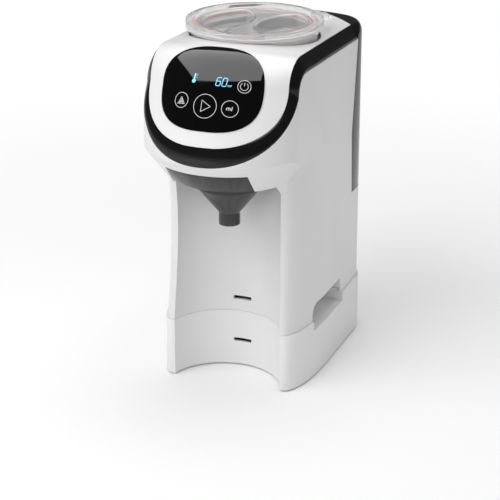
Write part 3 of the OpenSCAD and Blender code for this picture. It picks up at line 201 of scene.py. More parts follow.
def handled_gloss() -> bpy.types.NodeTree:
    """Faint smudges and hairlines that a polished surface gathers from hands and cloths."""
    group = SurfaceGroup("handled_gloss", {"Roughness": 0.08, "Smudge": 0.08, "Smudge Scale": 35.0},
                         ("Roughness", "Height"))
    smudge = group.noise(group.given["Smudge Scale"], 5.0, Distortion=0.6)
    patch = group.sketch.add("MapRange", {"Value": smudge, "From Min": 0.5, "From Max": 0.75})
    group.give("Roughness", group.sketch.maths("MULTIPLY_ADD", patch.outputs[0],
                                               group.given["Smudge"], group.given["Roughness"]))
    group.give("Height", group.noise(900.0, 1.0, Vector=group.drawn((1.0, 1.0, 0.08),
                                                                    (0.3, 0.5, 0.2))))
    return group.tree


def blank_material(name: str) -> tuple[bpy.types.Material, NodeSketch]:
    """Returns a new material without nodes, and the sketch of its tree."""
    made = bpy.data.materials.new(name)
    made.use_nodes = True
    made.node_tree.nodes.clear()
    return made, NodeSketch(made.node_tree)


# ------------ finishes


class Surface(Enum):
    """The ways a surface can be made."""

    MOULDED = "moulded"
    POLISHED = "polished"
    METAL = "metal"
    CLEAR = "clear"
    LIT = "lit"


SKIN_RADIUS = (0.004, 0.003, 0.003)
SKIN_SCALE = 0.5


@dataclass(frozen=True)
class Finish:
    """One finish of this machine.

    Attributes:
        slot: The record's material slot.
        surface: How the surface is made.
        colour: Linear base colour.
        roughness: Middle roughness.
        grain_depth: Height of the grain in metres.
        grain_scale: Grain per metre.
        drift: Share by which the colour drifts.
        specular: Specular level.
        see_through: Share of light that passes, for a clear finish.
        index: Index of refraction of a clear finish.
        glow: Strength of the light it gives out, for a lit finish.
        skin: Share of light that scatters below the surface.
    """

    slot: str
    surface: Surface
    colour: Triple
    roughness: float = 0.4
    grain_depth: float = 0.00003
    grain_scale: float = 1800.0
    drift: float = 0.03
    specular: float = 0.5
    see_through: float = 0.0
    index: float = 1.45
    glow: float = 0.0
    skin: float = 0.0

    def material(self, groups: dict[str, bpy.types.NodeTree], name: str) -> bpy.types.Material:
        """Builds the finish's material.

        Args:
            groups: The shared shader groups.
            name: The material's name.

        Returns:
            The new material.
        """
        made, sketch = blank_material(name)
        link = made.node_tree.links.new
        shader = sketch.add("BsdfPrincipled", {"Specular IOR Level": self.specular})
        sketch.add("OutputMaterial", {"Surface": shader.outputs[0]})
        look = {"Colour": (*self.colour, 1.0), "Roughness": self.roughness}
        if self.surface is Surface.METAL:
            shader.inputs["Metallic"].default_value = 1.0
            effect = sketch.add("Group", look, node_tree=groups["brushed"])
        else:
            look |= {"Drift": self.drift, "Grain Scale": self.grain_scale}
            effect = sketch.add("Group", look, node_tree=groups["moulded"])
        link(effect.outputs["Colour"], shader.inputs["Base Color"])
        rough = effect.outputs["Roughness"]
        if self.surface in (Surface.POLISHED, Surface.CLEAR):
            gloss = sketch.add("Group", node_tree=groups["handled"])
            link(rough, gloss.inputs["Roughness"])
            rough = gloss.outputs["Roughness"]
        link(rough, shader.inputs["Roughness"])
        bump = sketch.add("Bump", {"Height": effect.outputs["Height"], "Strength": 1.0,
                                   "Distance": self.grain_depth})
        link(bump.outputs[0], shader.inputs["Normal"])
        if self.see_through:
            shader.inputs["Transmission Weight"].default_value = self.see_through
            shader.inputs["IOR"].default_value = self.index
        if self.glow:
            link(effect.outputs["Colour"], shader.inputs["Emission Color"])
            shader.inputs["Emission Strength"].default_value = self.glow
        if self.skin:
            shader.inputs["Subsurface Weight"].default_value = self.skin
            shader.inputs["Subsurface Radius"].default_value = SKIN_RADIUS
            shader.inputs["Subsurface Scale"].default_value = SKIN_SCALE
        return made


FINISHES: dict[str, Finish] = {finish.slot: finish for finish in (
    Finish("riser_white", Surface.MOULDED, (0.76, 0.76, 0.765), 0.42, 0.00004, 1500.0),
    Finish("body_white", Surface.MOULDED, (0.71, 0.71, 0.715), 0.34, 0.00002, 1400.0, 0.02),
    Finish("cover_white", Surface.MOULDED, (0.77, 0.77, 0.775), 0.3, 0.00001, 1200.0, 0.015),
    Finish("band_black", Surface.POLISHED, (0.006, 0.006, 0.006), 0.12, 0.000002, 900.0,
           specular=0.4),
    Finish("panel_black", Surface.POLISHED, (0.001, 0.001, 0.0011), 0.05, 0.000001, 700.0,
           specular=0.55),
    Finish("smoke_clear", Surface.CLEAR, (0.05, 0.049, 0.048), 0.12, 0.000004, specular=0.4,
           see_through=0.4),
    Finish("tank_smoke", Surface.CLEAR, (0.05, 0.052, 0.056), 0.1, 0.000003, see_through=0.35),
    Finish("lid_black", Surface.POLISHED, (0.008, 0.008, 0.008), 0.16, 0.000003, specular=0.4),
    Finish("clear_plastic", Surface.CLEAR, (0.95, 0.955, 0.955), 0.05, 0.000002,
           see_through=0.8, index=1.25),
    Finish("silicone_pink", Surface.MOULDED, (0.72, 0.22, 0.2), 0.55, 0.00003, skin=0.3),
    Finish("rubber_grey", Surface.MOULDED, (0.05, 0.05, 0.052), 0.75, 0.00006, 2500.0),
    Finish("inner_white", Surface.MOULDED, (0.76, 0.76, 0.77), 0.45),
    Finish("frame_grey", Surface.MOULDED, (0.3, 0.3, 0.32), 0.5),
    Finish("gear_white", Surface.MOULDED, (0.78, 0.77, 0.72), 0.38, skin=0.15),
    Finish("gear_brass", Surface.METAL, (0.72, 0.52, 0.22), 0.3, 0.000004),
    Finish("steel", Surface.METAL, (0.58, 0.58, 0.6), 0.28, 0.000004),
    Finish("motor_steel", Surface.METAL, (0.42, 0.43, 0.45), 0.4, 0.000006),
    Finish("heater_metal", Surface.METAL, (0.68, 0.68, 0.7), 0.35, 0.000006),
    Finish("pump_black", Surface.MOULDED, (0.03, 0.03, 0.034), 0.45),
    Finish("board_green", Surface.MOULDED, (0.01, 0.12, 0.05), 0.35, drift=0.3),
    Finish("display_black", Surface.POLISHED, (0.02, 0.02, 0.024), 0.2),
    Finish("hose_clear", Surface.CLEAR, (0.82, 0.84, 0.85), 0.3, see_through=0.5),
    Finish("inlet_black", Surface.MOULDED, (0.02, 0.02, 0.02), 0.5),
    Finish("float_orange", Surface.MOULDED, (0.75, 0.25, 0.04), 0.4, skin=0.1),
)}
ICON_WHITE = Finish("display_black", Surface.LIT, (0.62, 0.63, 0.64), 0.4, glow=0.25)
ICON_BLUE = Finish("display_black", Surface.LIT, (0.16, 0.5, 0.72), 0.4, glow=0.75)


class Paintshop:
    """Builds each finish once and puts it on objects."""

    def __init__(self) -> None:
        """Builds the shared groups."""
        self.groups = {"moulded": moulded_grain(), "brushed": brushed_streaks(),
                       "handled": handled_gloss()}
        self.made: dict[Finish, bpy.types.Material] = {}

    def paint(self, piece: Piece, finish: Finish, name: str = "") -> None:
        """Puts one finish on the whole of an object.

        Args:
            piece: The object.
            finish: Its finish.
            name: The material's name where the slot's isn't enough.
        """
        if finish not in self.made:
            self.made[finish] = finish.material(self.groups, name or finish.slot)
        materials = piece.data.materials
        if not materials:
            materials.append(None)
        for index in range(len(materials)):
            materials[index] = self.made[finish]

    def paint_nodes(self) -> None:
        """Paints each CAD node by its slot in the record, for the parts that keep their shape."""
        for part in frame["record"]["subparts"]:
            self.paint(frame["nodes"][part["node"]], FINISHES[part["material_slot"]])


# ------------ mesh helpers


def evenly(first: float, last: float, steps: int) -> list[float]:
    """Returns a range's two ends and the places between them, in equal steps."""
    return [first + (last - first) * k / steps for k in range(steps + 1)]


def rectangle(x0: float, y0: float, x1: float, y1: float) -> list[Point]:
    """Returns a rectangle's corners."""
    return [(x0, y0), (x1, y0), (x1, y1), (x0, y1)]


def placed(name: str, data: bpy.types.ID) -> Piece:
    """Returns a new object in the scene with the given data."""
    piece = bpy.data.objects.new(name, data)
    bpy.context.scene.collection.objects.link(piece)
    return piece


def smooth(piece: Piece, angle: float) -> None:
    """Shades an object smooth, except for edges sharper than so many degrees."""
    piece.data.shade_smooth()
    piece.data.set_sharp_from_angle(angle=math.radians(angle))


def clean(mesh: bpy.types.Mesh, merge: float, flat: float = 0.0) -> None:
    """Joins points closer than merge and faces flatter than flat degrees, and mends normals."""
    shape = bmesh.new()
    shape.from_mesh(mesh)
    bmesh.ops.remove_doubles(shape, verts=shape.verts, dist=merge)
    if flat:
        bmesh.ops.dissolve_limit(shape, angle_limit=math.radians(flat), verts=shape.verts,
                                 edges=shape.edges)
    bmesh.ops.recalc_face_normals(shape, faces=shape.faces)
    shape.to_mesh(mesh)
    shape.free()


def solid(name: str, points: Sequence[Vector], faces: Sequence[Sequence[int]],
          smooth_angle: float = 40.0) -> Piece:
    """Makes a mesh object with outward faces.

    Args:
        name: The object's name.
        points: Its vertices.
        faces: Its faces as vertex numbers.
        smooth_angle: Edges sharper than this many degrees stay crisp.

    Returns:
        The new object, linked to the scene.
    """
    mesh = bpy.data.meshes.new(name)
    mesh.from_pydata([tuple(p) for p in points], [], [tuple(f) for f in faces])
    clean(mesh, 1e-6)
    piece = placed(name, mesh)
    smooth(piece, smooth_angle)
    return piece


def strip_faces(rows: int, columns: int, ring: bool = False) -> list[tuple[int, ...]]:
    """Returns the quads of a grid of points, closed round its columns if ring."""
    last = columns if ring else columns - 1
    return [(i * columns + j, (i + 1) * columns + j, (i + 1) * columns + (j + 1) % columns,
             i * columns + (j + 1) % columns) for i in range(rows - 1) for j in range(last)]


def swept(name: str, sections: Sequence[Sequence[Vector]], smooth_angle: float = 40.0) -> Piece:
    """Makes a solid from closed cross-sections in a row, with a cap at each end.

    Args:
        name: The object's name.
        sections: The cross-sections, all with as many points.
        smooth_angle: Edges sharper than this many degrees stay crisp.

    Returns:
        The new object.
    """
    columns = len(sections[0])
    faces = strip_faces(len(sections), columns, ring=True)
    faces.append(tuple(range(columns)))
    faces.append(tuple((len(sections) - 1) * columns + j for j in range(columns)))
    return solid(name, [p for row in sections for p in row], faces, smooth_angle)


def prism(name: str, plan: Sequence[Point], low: float = 0.0, high: float = TOOL_TOP) -> Piece:
    """Makes an upright tool for cut() from its plan."""
    return swept(name, [[Vector((x, y, z)) for x, y in plan] for z in (low, high)])


def post(name: str, at: Point, radius: float, sides: int = 160) -> Piece:
    """Makes a round upright tool for cut()."""
    turns = [math.tau * k / sides for k in range(sides)]
    return prism(name, [(at[0] + radius * math.cos(a), at[1] + radius * math.sin(a))
                        for a in turns])


def apply_modifiers(piece: Piece) -> None:
    """Turns the object's modifiers into its mesh."""
    bpy.context.view_layer.update()
    seen = piece.evaluated_get(bpy.context.evaluated_depsgraph_get())
    mesh = bpy.data.meshes.new_from_object(seen)
    piece.modifiers.clear()
    old = piece.data
    piece.data = mesh
    bpy.data.meshes.remove(old)


def cut(piece: Piece, tool: Piece, operation: str = "DIFFERENCE") -> None:
    """Cuts one solid with another and drops the tool.

    Args:
        piece: The solid that is cut.
        tool: The solid that cuts it.
        operation: DIFFERENCE or INTERSECT.
    """
    change = piece.modifiers.new("cut", "BOOLEAN")
    change.operation = operation
    change.object = tool
    change.solver = "EXACT"
    apply_modifiers(piece)
    bpy.data.objects.remove(tool)


EDGE_STEPS = 3
EDGE_ANGLE = 32.0


def softened(node: str, width: float) -> Piece:
    """Makes a copy of a CAD node with rounded edges, which stands for it.

    Args:
        node: The CAD node.
        width: Width of the rounding.

    Returns:
        The new piece, riding on the node's body.
    """
    source = frame["nodes"][node]
    mesh = source.data.copy()
    clean(mesh, 2e-6, 0.4)
    if mesh.has_custom_normals:
        mesh.attributes.remove(mesh.attributes["custom_normal"])
    mesh.name = node + "_soft"
    piece = placed(node + "_soft", mesh)
    edge = piece.modifiers.new("edge", "BEVEL")
    edge.width = width
    edge.segments = EDGE_STEPS
    edge.limit_method = "ANGLE"
    edge.angle_limit = math.radians(EDGE_ANGLE)
    edge.use_clamp_overlap = True
    apply_modifiers(piece)
    smooth(piece, EDGE_ANGLE)
    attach(piece, source["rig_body"])
    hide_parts(node)
    return piece


# ------------ head


def rounded(s: float, half_w: float, drop: float, power: float) -> Point:
    """Returns how far across and down a rounded outline runs, s from 0 at its tip to 1."""
    turn = math.pi / 2 * (1 - s)
    return half_w * math.cos(turn) ** (2 / power), drop * math.sin(turn) ** (2 / power)


@dataclass
class Head:
    """The head's white cover, black band and touch panel.

    The curves are the same as those of the part's source, at a finer step.
    """

    paint: Paintshop
    half_w: float = field(default_factory=lambda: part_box("main_housing")[1].x)
    nose_y: float = field(default_factory=lambda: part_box("trim_band")[0].y)
    lift: float = field(default_factory=lambda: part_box("main_housing")[0].z)
    bowl_y: float = 3.8 * MM
    front_r: float = 88 * MM
    corner_r: float = 45 * MM
    band_tip_z: float = 197 * MM
    band_side_z: float = 278 * MM
    band_rear_z: float = 272 * MM
    band_turn_z: float = 258 * MM
    band_turn_in: float = 84 * MM
    band_past: float = 2 * MM
    band_w: float = 8 * MM
    band_t: float = 3 * MM
    band_puff: float = 0.6 * MM
    band_lip: float = 0.5 * MM
    outer_power: float = 2.3
    inner_power: float = 2.65
    lean: float = math.radians(24)
    bulge_r: float = 85 * MM
    face_foot_z: float = 216.5 * MM
    face_foot_in: float = 3 * MM
    face_turn_z: float = 265 * MM
    shoulder_in: float = 4 * MM
    deck_z: float = 300.5 * MM
    deck_front_in: float = 72 * MM
    deck_fall: float = 6 * MM
    deck_crown: float = 7.5 * MM
    cover_t: float = 2.5 * MM
    cover_start: float = 0.08
    cover_end: float = 3.25
    narrowing: float = 0.8
    deck_end_y: float = 123 * MM
    deck_corner_y: float = 96 * MM
    hole_r: float = 67.5 * MM
    skirt_gap: float = 0.4 * MM
    tank_top_z: float = 272 * MM
    panel_z: float = 270 * MM
    panel_half_w: float = 52.5 * MM
    panel_half_h: float = 43 * MM
    panel_t: float = 0.8 * MM
    panel_edge: float = 0.25 * MM
    panel_power: float = 2.6
    film: float = 0.02 * MM

    def __post_init__(self) -> None:
        """Works out the values that follow from the sizes."""
        self.front_y = self.nose_y + self.front_r
        self.corner_x = self.half_w - self.corner_r
        self.corner_y = self.front_y - math.sqrt((self.front_r - self.corner_r) ** 2
                                                 - self.corner_x ** 2)
        self.turn = math.atan2(self.corner_y - self.front_y, self.corner_x)
        self.shoulder_y = self.nose_y + self.band_turn_in
        self.deck_front_y = self.nose_y + self.deck_front_in
        self.in_half_w = self.half_w - self.band_w
        self.deck_edge_z = self.deck_z - self.deck_crown
        sag = self.deck_end_y - self.deck_corner_y
        self.deck_r = (self.in_half_w ** 2 + sag ** 2) / (2 * sag)
        self.deck_cy = self.deck_end_y - self.deck_r
        self.rim = [self.rim_out(s) for s in evenly(0, 3, 120)]

    def front_at(self, x: float) -> float:
        """Returns how far forward the head's outline reaches at a distance from the middle."""
        if x < self.front_r * math.cos(self.turn):
            return self.front_y - math.sqrt(self.front_r ** 2 - x * x)
        return self.corner_y - math.sqrt(max(0.0, self.corner_r ** 2 - (x - self.corner_x) ** 2))

    def face_at(self, z: float) -> float:
        """Returns the y of the face's middle line at a height."""
        return self.nose_y + self.face_foot_in + (z - self.face_foot_z) * math.tan(self.lean)

    def rim_out(self, s: float) -> Vector:
        """Returns the band's outer edge on the right, s from 0 at the tip to 3 at the tank."""
        if s <= 1:
            x, drop = rounded(s, self.half_w, self.band_turn_z - self.band_tip_z, self.outer_power)
            return Vector((x, self.front_at(x), self.band_turn_z - drop))
        if s <= 2:
            turn = math.pi / 2 * (s - 1)
            fore, rise = self.corner_y - self.shoulder_y, self.band_side_z - self.band_turn_z
            return Vector((self.half_w, self.shoulder_y + fore * math.cos(turn),
                           self.band_turn_z + rise * math.sin(turn)))
        run = self.deck_corner_y + self.band_past - self.shoulder_y
        return Vector((self.half_w, self.shoulder_y + run * (s - 2),
                       self.band_side_z + (self.band_rear_z - self.band_side_z) * (s - 2)))

    def rim_in(self, s: float) -> Vector:
        """Returns the band's inner edge on the right."""
        if s <= 1:
            x, drop = rounded(s, self.in_half_w, self.face_turn_z - self.face_foot_z,
                              self.inner_power)
            z = self.face_turn_z - drop
            return Vector((x, self.face_at(z) + x * x / (2 * self.bulge_r), z))
        back = self.shoulder_y + self.shoulder_in
        if s <= 2:
            turn = math.pi / 2 * (s - 1)
            start = self.face_at(self.face_turn_z) + self.in_half_w ** 2 / (2 * self.bulge_r)
            rise = self.deck_edge_z - self.face_turn_z
            return Vector((self.in_half_w, back + (start - back) * math.cos(turn),
                           self.face_turn_z + rise * math.sin(turn)))
        return Vector((self.in_half_w, back + (self.deck_corner_y - back) * (s - 2),
                       self.deck_edge_z - self.deck_fall * (s - 2)))

    def crown(self, s: float) -> Vector:
        """Returns the middle line of the face and the deck."""
        if s <= 1:
            z = self.rim_in(s).z
            return Vector((0, self.face_at(z), z))
        if s <= 2:
            t = s - 1
            a = Vector((0, self.face_at(self.face_turn_z), self.face_turn_z))
            b = Vector((0, self.face_at(self.deck_z), self.deck_z))
            c = Vector((0, self.deck_front_y, self.deck_z))
            return a * (1 - t) ** 2 + b * (2 * t * (1 - t)) + c * t * t
        run = self.deck_corner_y - self.deck_front_y
        return Vector((0, self.deck_front_y + run * (s - 2),
                       self.deck_z - self.deck_fall * (s - 2)))

    def skin(self, s: float, u: float, depth: float = 0.0) -> Vector:
        """Returns a point of the cover, u from -1 to 1 across, at a depth below its outside."""
        edge, middle = self.rim_in(s), self.crown(s)
        tilt = self.lean + (math.pi / 2 - self.lean) * min(1.0, max(0.0, s - 1))
        return Vector((u * edge.x * (1 - self.narrowing * depth / self.in_half_w),
                       middle.y + (edge.y - middle.y) * u * u + depth * math.cos(tilt),
                       middle.z + (edge.z - middle.z) * u * u - depth * math.sin(tilt)))

    def up(self, points: Sequence[Vector]) -> list[Vector]:
        """Returns machine points lifted onto the riser."""
        return [p + Vector((0, 0, self.lift)) for p in points]

    def make_cover(self) -> Piece:
        """Builds the white cover with its round hole and its skirt over the tank."""
        sections = []
        for s in evenly(self.cover_start, 2, 90) + evenly(2, self.cover_end, 30)[1:]:
            upper, lower = ([self.skin(s, u, depth) for u in evenly(-1, 1, 72)]
                            for depth in (0.0, self.cover_t))
            sections.append(self.up(upper + lower[::-1]))
        cover = swept("top_cover_smooth", sections)
        cut(cover, post("hole_tool", (0, self.bowl_y), self.hole_r))
        cut(cover, self._behind_deck())
        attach(cover, "machine")
        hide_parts("top_cover")
        smooth(cover, 35)
        self.paint.paint(cover, FINISHES["cover_white"])
        skirt = self._skirt()
        self.paint.paint(skirt, FINISHES["cover_white"])
        return cover

    def _deck_arc(self, radius: float, steps: int = 48) -> list[Point]:
        """Returns the cover's curved rear edge from right to left."""
        reach = math.asin(min(1.0, (self.in_half_w - 0.3 * MM) / radius))
        return [(radius * math.sin(a), self.deck_cy + radius * math.cos(a))
                for a in evenly(reach, -reach, steps)]

    def _behind_deck(self) -> Piece:
        """Returns the tool that trims the cover behind its rear edge."""
        wide, back, front = self.half_w * 1.5, 0.3, self.deck_corner_y - 1 * MM
        plan = [(wide, front), *self._deck_arc(self.deck_r, 80), (-wide, front), (-wide, back),
                (wide, back)]
        return prism("behind_tool", plan)

    def _skirt(self) -> Piece:
        """Builds the upright wall under the cover's rear edge."""
        sections = []
        low = self.tank_top_z + self.skirt_gap
        inner = self._deck_arc(self.deck_r - self.cover_t)
        for (ox, oy), (ix, iy) in zip(self._deck_arc(self.deck_r), inner):
            s = 2 + (oy - self.deck_front_y) / (self.deck_corner_y - self.deck_front_y)
            top = self.skin(s, max(-1.0, min(1.0, ox / self.in_half_w))).z - self.skirt_gap
            sections.append(self.up([Vector((ox, oy, low)), Vector((ox, oy, top)),
                                     Vector((ix, iy, top)), Vector((ix, iy, low))]))
        skirt = swept("cover_skirt", sections, 30)
        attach(skirt, "machine")
        return skirt

    def rim_height(self, y: float) -> float:
        """Returns the height of the band's outer edge at a distance along the machine."""
        if y <= self.rim[0].y:
            return self.rim[0].z
        for a, b in zip(self.rim, self.rim[1:]):
            if a.y <= y <= b.y and b.y > a.y:
                return a.z + (b.z - a.z) * (y - a.y) / (b.y - a.y)
        return self.rim[-1].z

    def band_section(self, s: float, side: int) -> list[Vector]:
        """Returns one closed cross-section of the band.

        Args:
            s: The station along the band.
            side: 1 on the right, -1 on the left.

        Returns:
            Its points, lifted onto the riser.
        """
        a, b = self.rim_in(s), self.rim_out(s)
        fore = b.y < self.front_y
        inward = Vector((-b.x, self.front_y - b.y, 0)).normalized() if fore else Vector((-1, 0, 0))
        steps = 14
        out: list[Vector] = []
        inner: list[Vector] = []
        for f in evenly(0, 1, steps):
            flat, below = a.lerp(b, f), inward * f - Vector((0, 0, 1 - f))
            edge = min(1.0, min(f, 1 - f) * steps / 2)
            drop = self.band_lip * (1 - math.sqrt(max(0.0, 1 - (1 - edge) ** 2)))
            puff = self.band_puff * math.sin(math.pi * f)
            out.append(flat + (Vector((0, 0, 1)) - inward) * puff + below * drop)
            point = flat + below * self.band_t
            point.z = max(point.z, self.rim_height(point.y) + 0.1 * MM)
            inner.append(point)
        return self.up([Vector((p.x * side, p.y, p.z)) for p in out + inner[::-1]])

    def make_band(self) -> Piece:
        """Builds the glossy black band from the tank on the left round to the one on the right."""
        right = evenly(0, 2, 120) + evenly(2, 3, 24)[1:]
        sections = [self.band_section(s, -1) for s in reversed(right[1:])]
        sections += [self.band_section(s, 1) for s in right]
        band = swept("trim_band_smooth", sections, 60)
        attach(band, "machine")
        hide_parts("trim_band")
        self.paint.paint(band, FINISHES["band_black"])
        return band

    def on_face(self, x: float, v: float, proud: float) -> Vector:
        """Returns the point of the cover behind a point of the face's plane.

        Args:
            x: Distance to the right of the middle.
            v: Distance up the leaning face from the panel's middle.
            proud: How far the point stands out of the cover.

        Returns:
            The point, in machine heights.
        """
        origin = Vector((0, self.face_at(self.panel_z), self.panel_z))
        rise = Vector((0, math.sin(self.lean), math.cos(self.lean)))
        low, high = 0.02, 2.3
        for _ in range(30):
            middle = (low + high) / 2
            u = max(-1.0, min(1.0, x / self.rim_in(middle).x))
            if (self.skin(middle, u) - origin).dot(rise) < v:
                low = middle
            else:
                high = middle
        u = max(-1.0, min(1.0, x / self.rim_in(low).x))
        return self.skin(low, u, -proud)

    def panel_outline(self, turn: float, shrink: float = 0.0) -> Point:
        """Returns a point of the panel's outline, in the face's plane."""
        c, s = math.cos(turn), math.sin(turn)
        power = 2 / self.panel_power
        return ((self.panel_half_w - shrink) * math.copysign(abs(c) ** power, c),
                (self.panel_half_h - shrink) * math.copysign(abs(s) ** power, s))

    def make_panel(self) -> Piece:
        """Builds the black touch panel that lies on the face."""
        around, rings, edge = 120, 16, self.panel_edge
        points: list[Vector] = []
        levels = [(k / rings, 0.0, self.panel_t) for k in range(1, rings + 1)]
        levels += [(1.0, -0.48 * edge, self.panel_t - 0.24 * edge),
                   (1.0, -edge, self.panel_t - edge), (1.0, -edge, self.film)]
        for share, grow, proud in levels:
            for k in range(around):
                x, v = self.panel_outline(math.tau * k / around, edge + grow)
                points.append(self.on_face(x * share, v * share, proud))
        faces = strip_faces(len(levels), around, ring=True)
        points.append(self.on_face(0, 0, self.panel_t))
        faces += [((k + 1) % around, k, len(points) - 1) for k in range(around)]
        points.append(self.on_face(0, 0, self.film))
        last = (len(levels) - 1) * around
        faces += [(last + k, last + (k + 1) % around, len(points) - 1) for k in range(around)]
        panel = solid("touch_panel_smooth", self.up(points), faces, 50)
        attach(panel, "machine")
        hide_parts("touch_panel")
        self.paint.paint(panel, FINISHES["panel_black"])
        return panel

    def build(self) -> list[Piece]:
        """Builds the head's pieces."""
        return [self.make_cover(), self.make_band(), self.make_panel(), *Icons(self).build(),
                TankLid(self).build()]


@dataclass
class TankLid:
    """The black lid of the water tank, which carries the band's slope round the back."""

    head: Head
    rear_r: float = 185 * MM
    corner_r: float = 38 * MM
    height: float = 15.5 * MM
    seat: float = 0.3 * MM
    upright: float = 3 * MM
    wall: float = 2.5 * MM
    mouth_in: float = 44.1 * MM
    start_y: float = 20 * MM
    lip_below: float = 50 * MM

    def __post_init__(self) -> None:
        """Works out the centres of the plan's arcs."""
        self.rear_y = -self.head.nose_y
        self.centre_y = self.rear_y - self.rear_r
        self.corner_x = self.head.half_w - self.corner_r
        self.corner_y = self.centre_y + math.sqrt((self.rear_r - self.corner_r) ** 2
                                                  - self.corner_x ** 2)
        self.turn = math.atan2(self.corner_y - self.centre_y, self.corner_x)

    def plan(self, inset: float, bulge: float = 0.0) -> list[Point]:
        """Returns the outline of the machine's rear.

        Args:
            inset: How far the outline lies inside the machine's.
            bulge: How much less that is at the back, where the lid is rounder than the band.

        Returns:
            The outline's points.
        """
        side, front = self.head.half_w - inset, self.head.deck_corner_y
        right = [(side, self.start_y), (side, front)]
        for share in evenly(0, 1, 5)[1:-1]:
            ease = 3 * share ** 2 - 2 * share ** 3
            right.append((side + bulge * ease, front + (self.corner_y - front) * share))
        inset -= bulge
        for x, y, radius, turns in (
                (self.corner_x, self.corner_y, self.corner_r, evenly(0, self.turn, 24)),
                (0, self.centre_y, self.rear_r, evenly(self.turn, math.pi / 2, 16)[1:-1])):
            right += [(x + (radius - inset) * math.cos(a), y + (radius - inset) * math.sin(a))
                      for a in turns]
        return right + [(-x, y) for x, y in reversed(right)]

    def block(self, name: str, levels: Sequence[tuple[float, float, float]], deck_gap: float,
              front: float) -> Piece:
        """Makes the solid behind the deck's rear edge.

        Args:
            name: The object's name.
            levels: Its heights, each with its inset and its bulge.
            deck_gap: Distance from the deck's edge.
            front: Where its front ends.

        Returns:
            The new object.
        """
        made = swept(name, [[Vector((x, y, z + self.head.lift)) for x, y in self.plan(inset, bulge)]
                            for z, inset, bulge in levels], 30)
        cut(made, post("deck_tool", (0, self.head.deck_cy), self.head.deck_r + deck_gap, 240))
        cut(made, prism("front_tool", rectangle(-TOOL_HALF, -TOOL_HALF, TOOL_HALF, front)))
        return made

    def build(self) -> Piece:
        """Builds the lid, rounded above and hollow underneath, and the lip that enters the tank."""
        band_w, tank_top_z = self.head.band_w, self.head.tank_top_z
        low, top = tank_top_z + self.seat, tank_top_z + self.height
        levels = [(low, 0.0, 0.0)]
        for turn in evenly(0, math.pi / 2, 12):
            straight, rounded = math.sin(turn), 1 - math.cos(turn)
            levels.append((low + self.upright + (top - low - self.upright) * straight,
                           band_w * straight, band_w * (straight - rounded)))
        lid = self.block("tank_lid_smooth", levels, 2 * self.seat,
                         self.head.deck_corner_y + self.wall)
        inset = band_w + self.wall
        cut(lid, self.block("hollow_tool", [(0.0, inset, 0.0), (top - self.wall, inset, 0.0)],
                            3 * MM, self.rear_y - self.mouth_in))
        lip = placed("lid_lip", frame["nodes"]["tank_lid"].data.copy())
        lip_top = low + self.head.lift
        cut(lip, prism("lip_tool", rectangle(-TOOL_HALF, -TOOL_HALF, TOOL_HALF, TOOL_HALF),
                       lip_top - self.lip_below, lip_top), "INTERSECT")
        shape = bmesh.new()
        shape.from_mesh(lid.data)
        shape.from_mesh(lip.data)
        shape.to_mesh(lid.data)
        shape.free()
        bpy.data.objects.remove(lip)
        smooth(lid, 35)
        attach(lid, frame["nodes"]["tank_lid"]["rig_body"])
        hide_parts("tank_lid")
        self.head.paint.paint(lid, FINISHES["lid_black"])
        return lid


# ------------ lit icons


def ring_line(at: Point, radius: float, start: float = 0.0, sweep: float = 360.0,
              steps: int = 48) -> list[Point]:
    """Returns the points of an arc, its angles in degrees."""
    turns = [math.radians(a) for a in evenly(start, start + sweep, steps)]
    return [(at[0] + radius * math.cos(a), at[1] + radius * math.sin(a)) for a in turns]


def stepped(path: Sequence[Point], step: float) -> list[Point]:
    """Returns the path with its long sides split, so that it can follow a curved surface."""
    points = [path[0]]
    for a, b in zip(path, path[1:]):
        parts = max(1, math.ceil(math.dist(a, b) / step))
        points += [(a[0] + (b[0] - a[0]) * k / parts, a[1] + (b[1] - a[1]) * k / parts)
                   for k in range(1, parts + 1)]
    return points


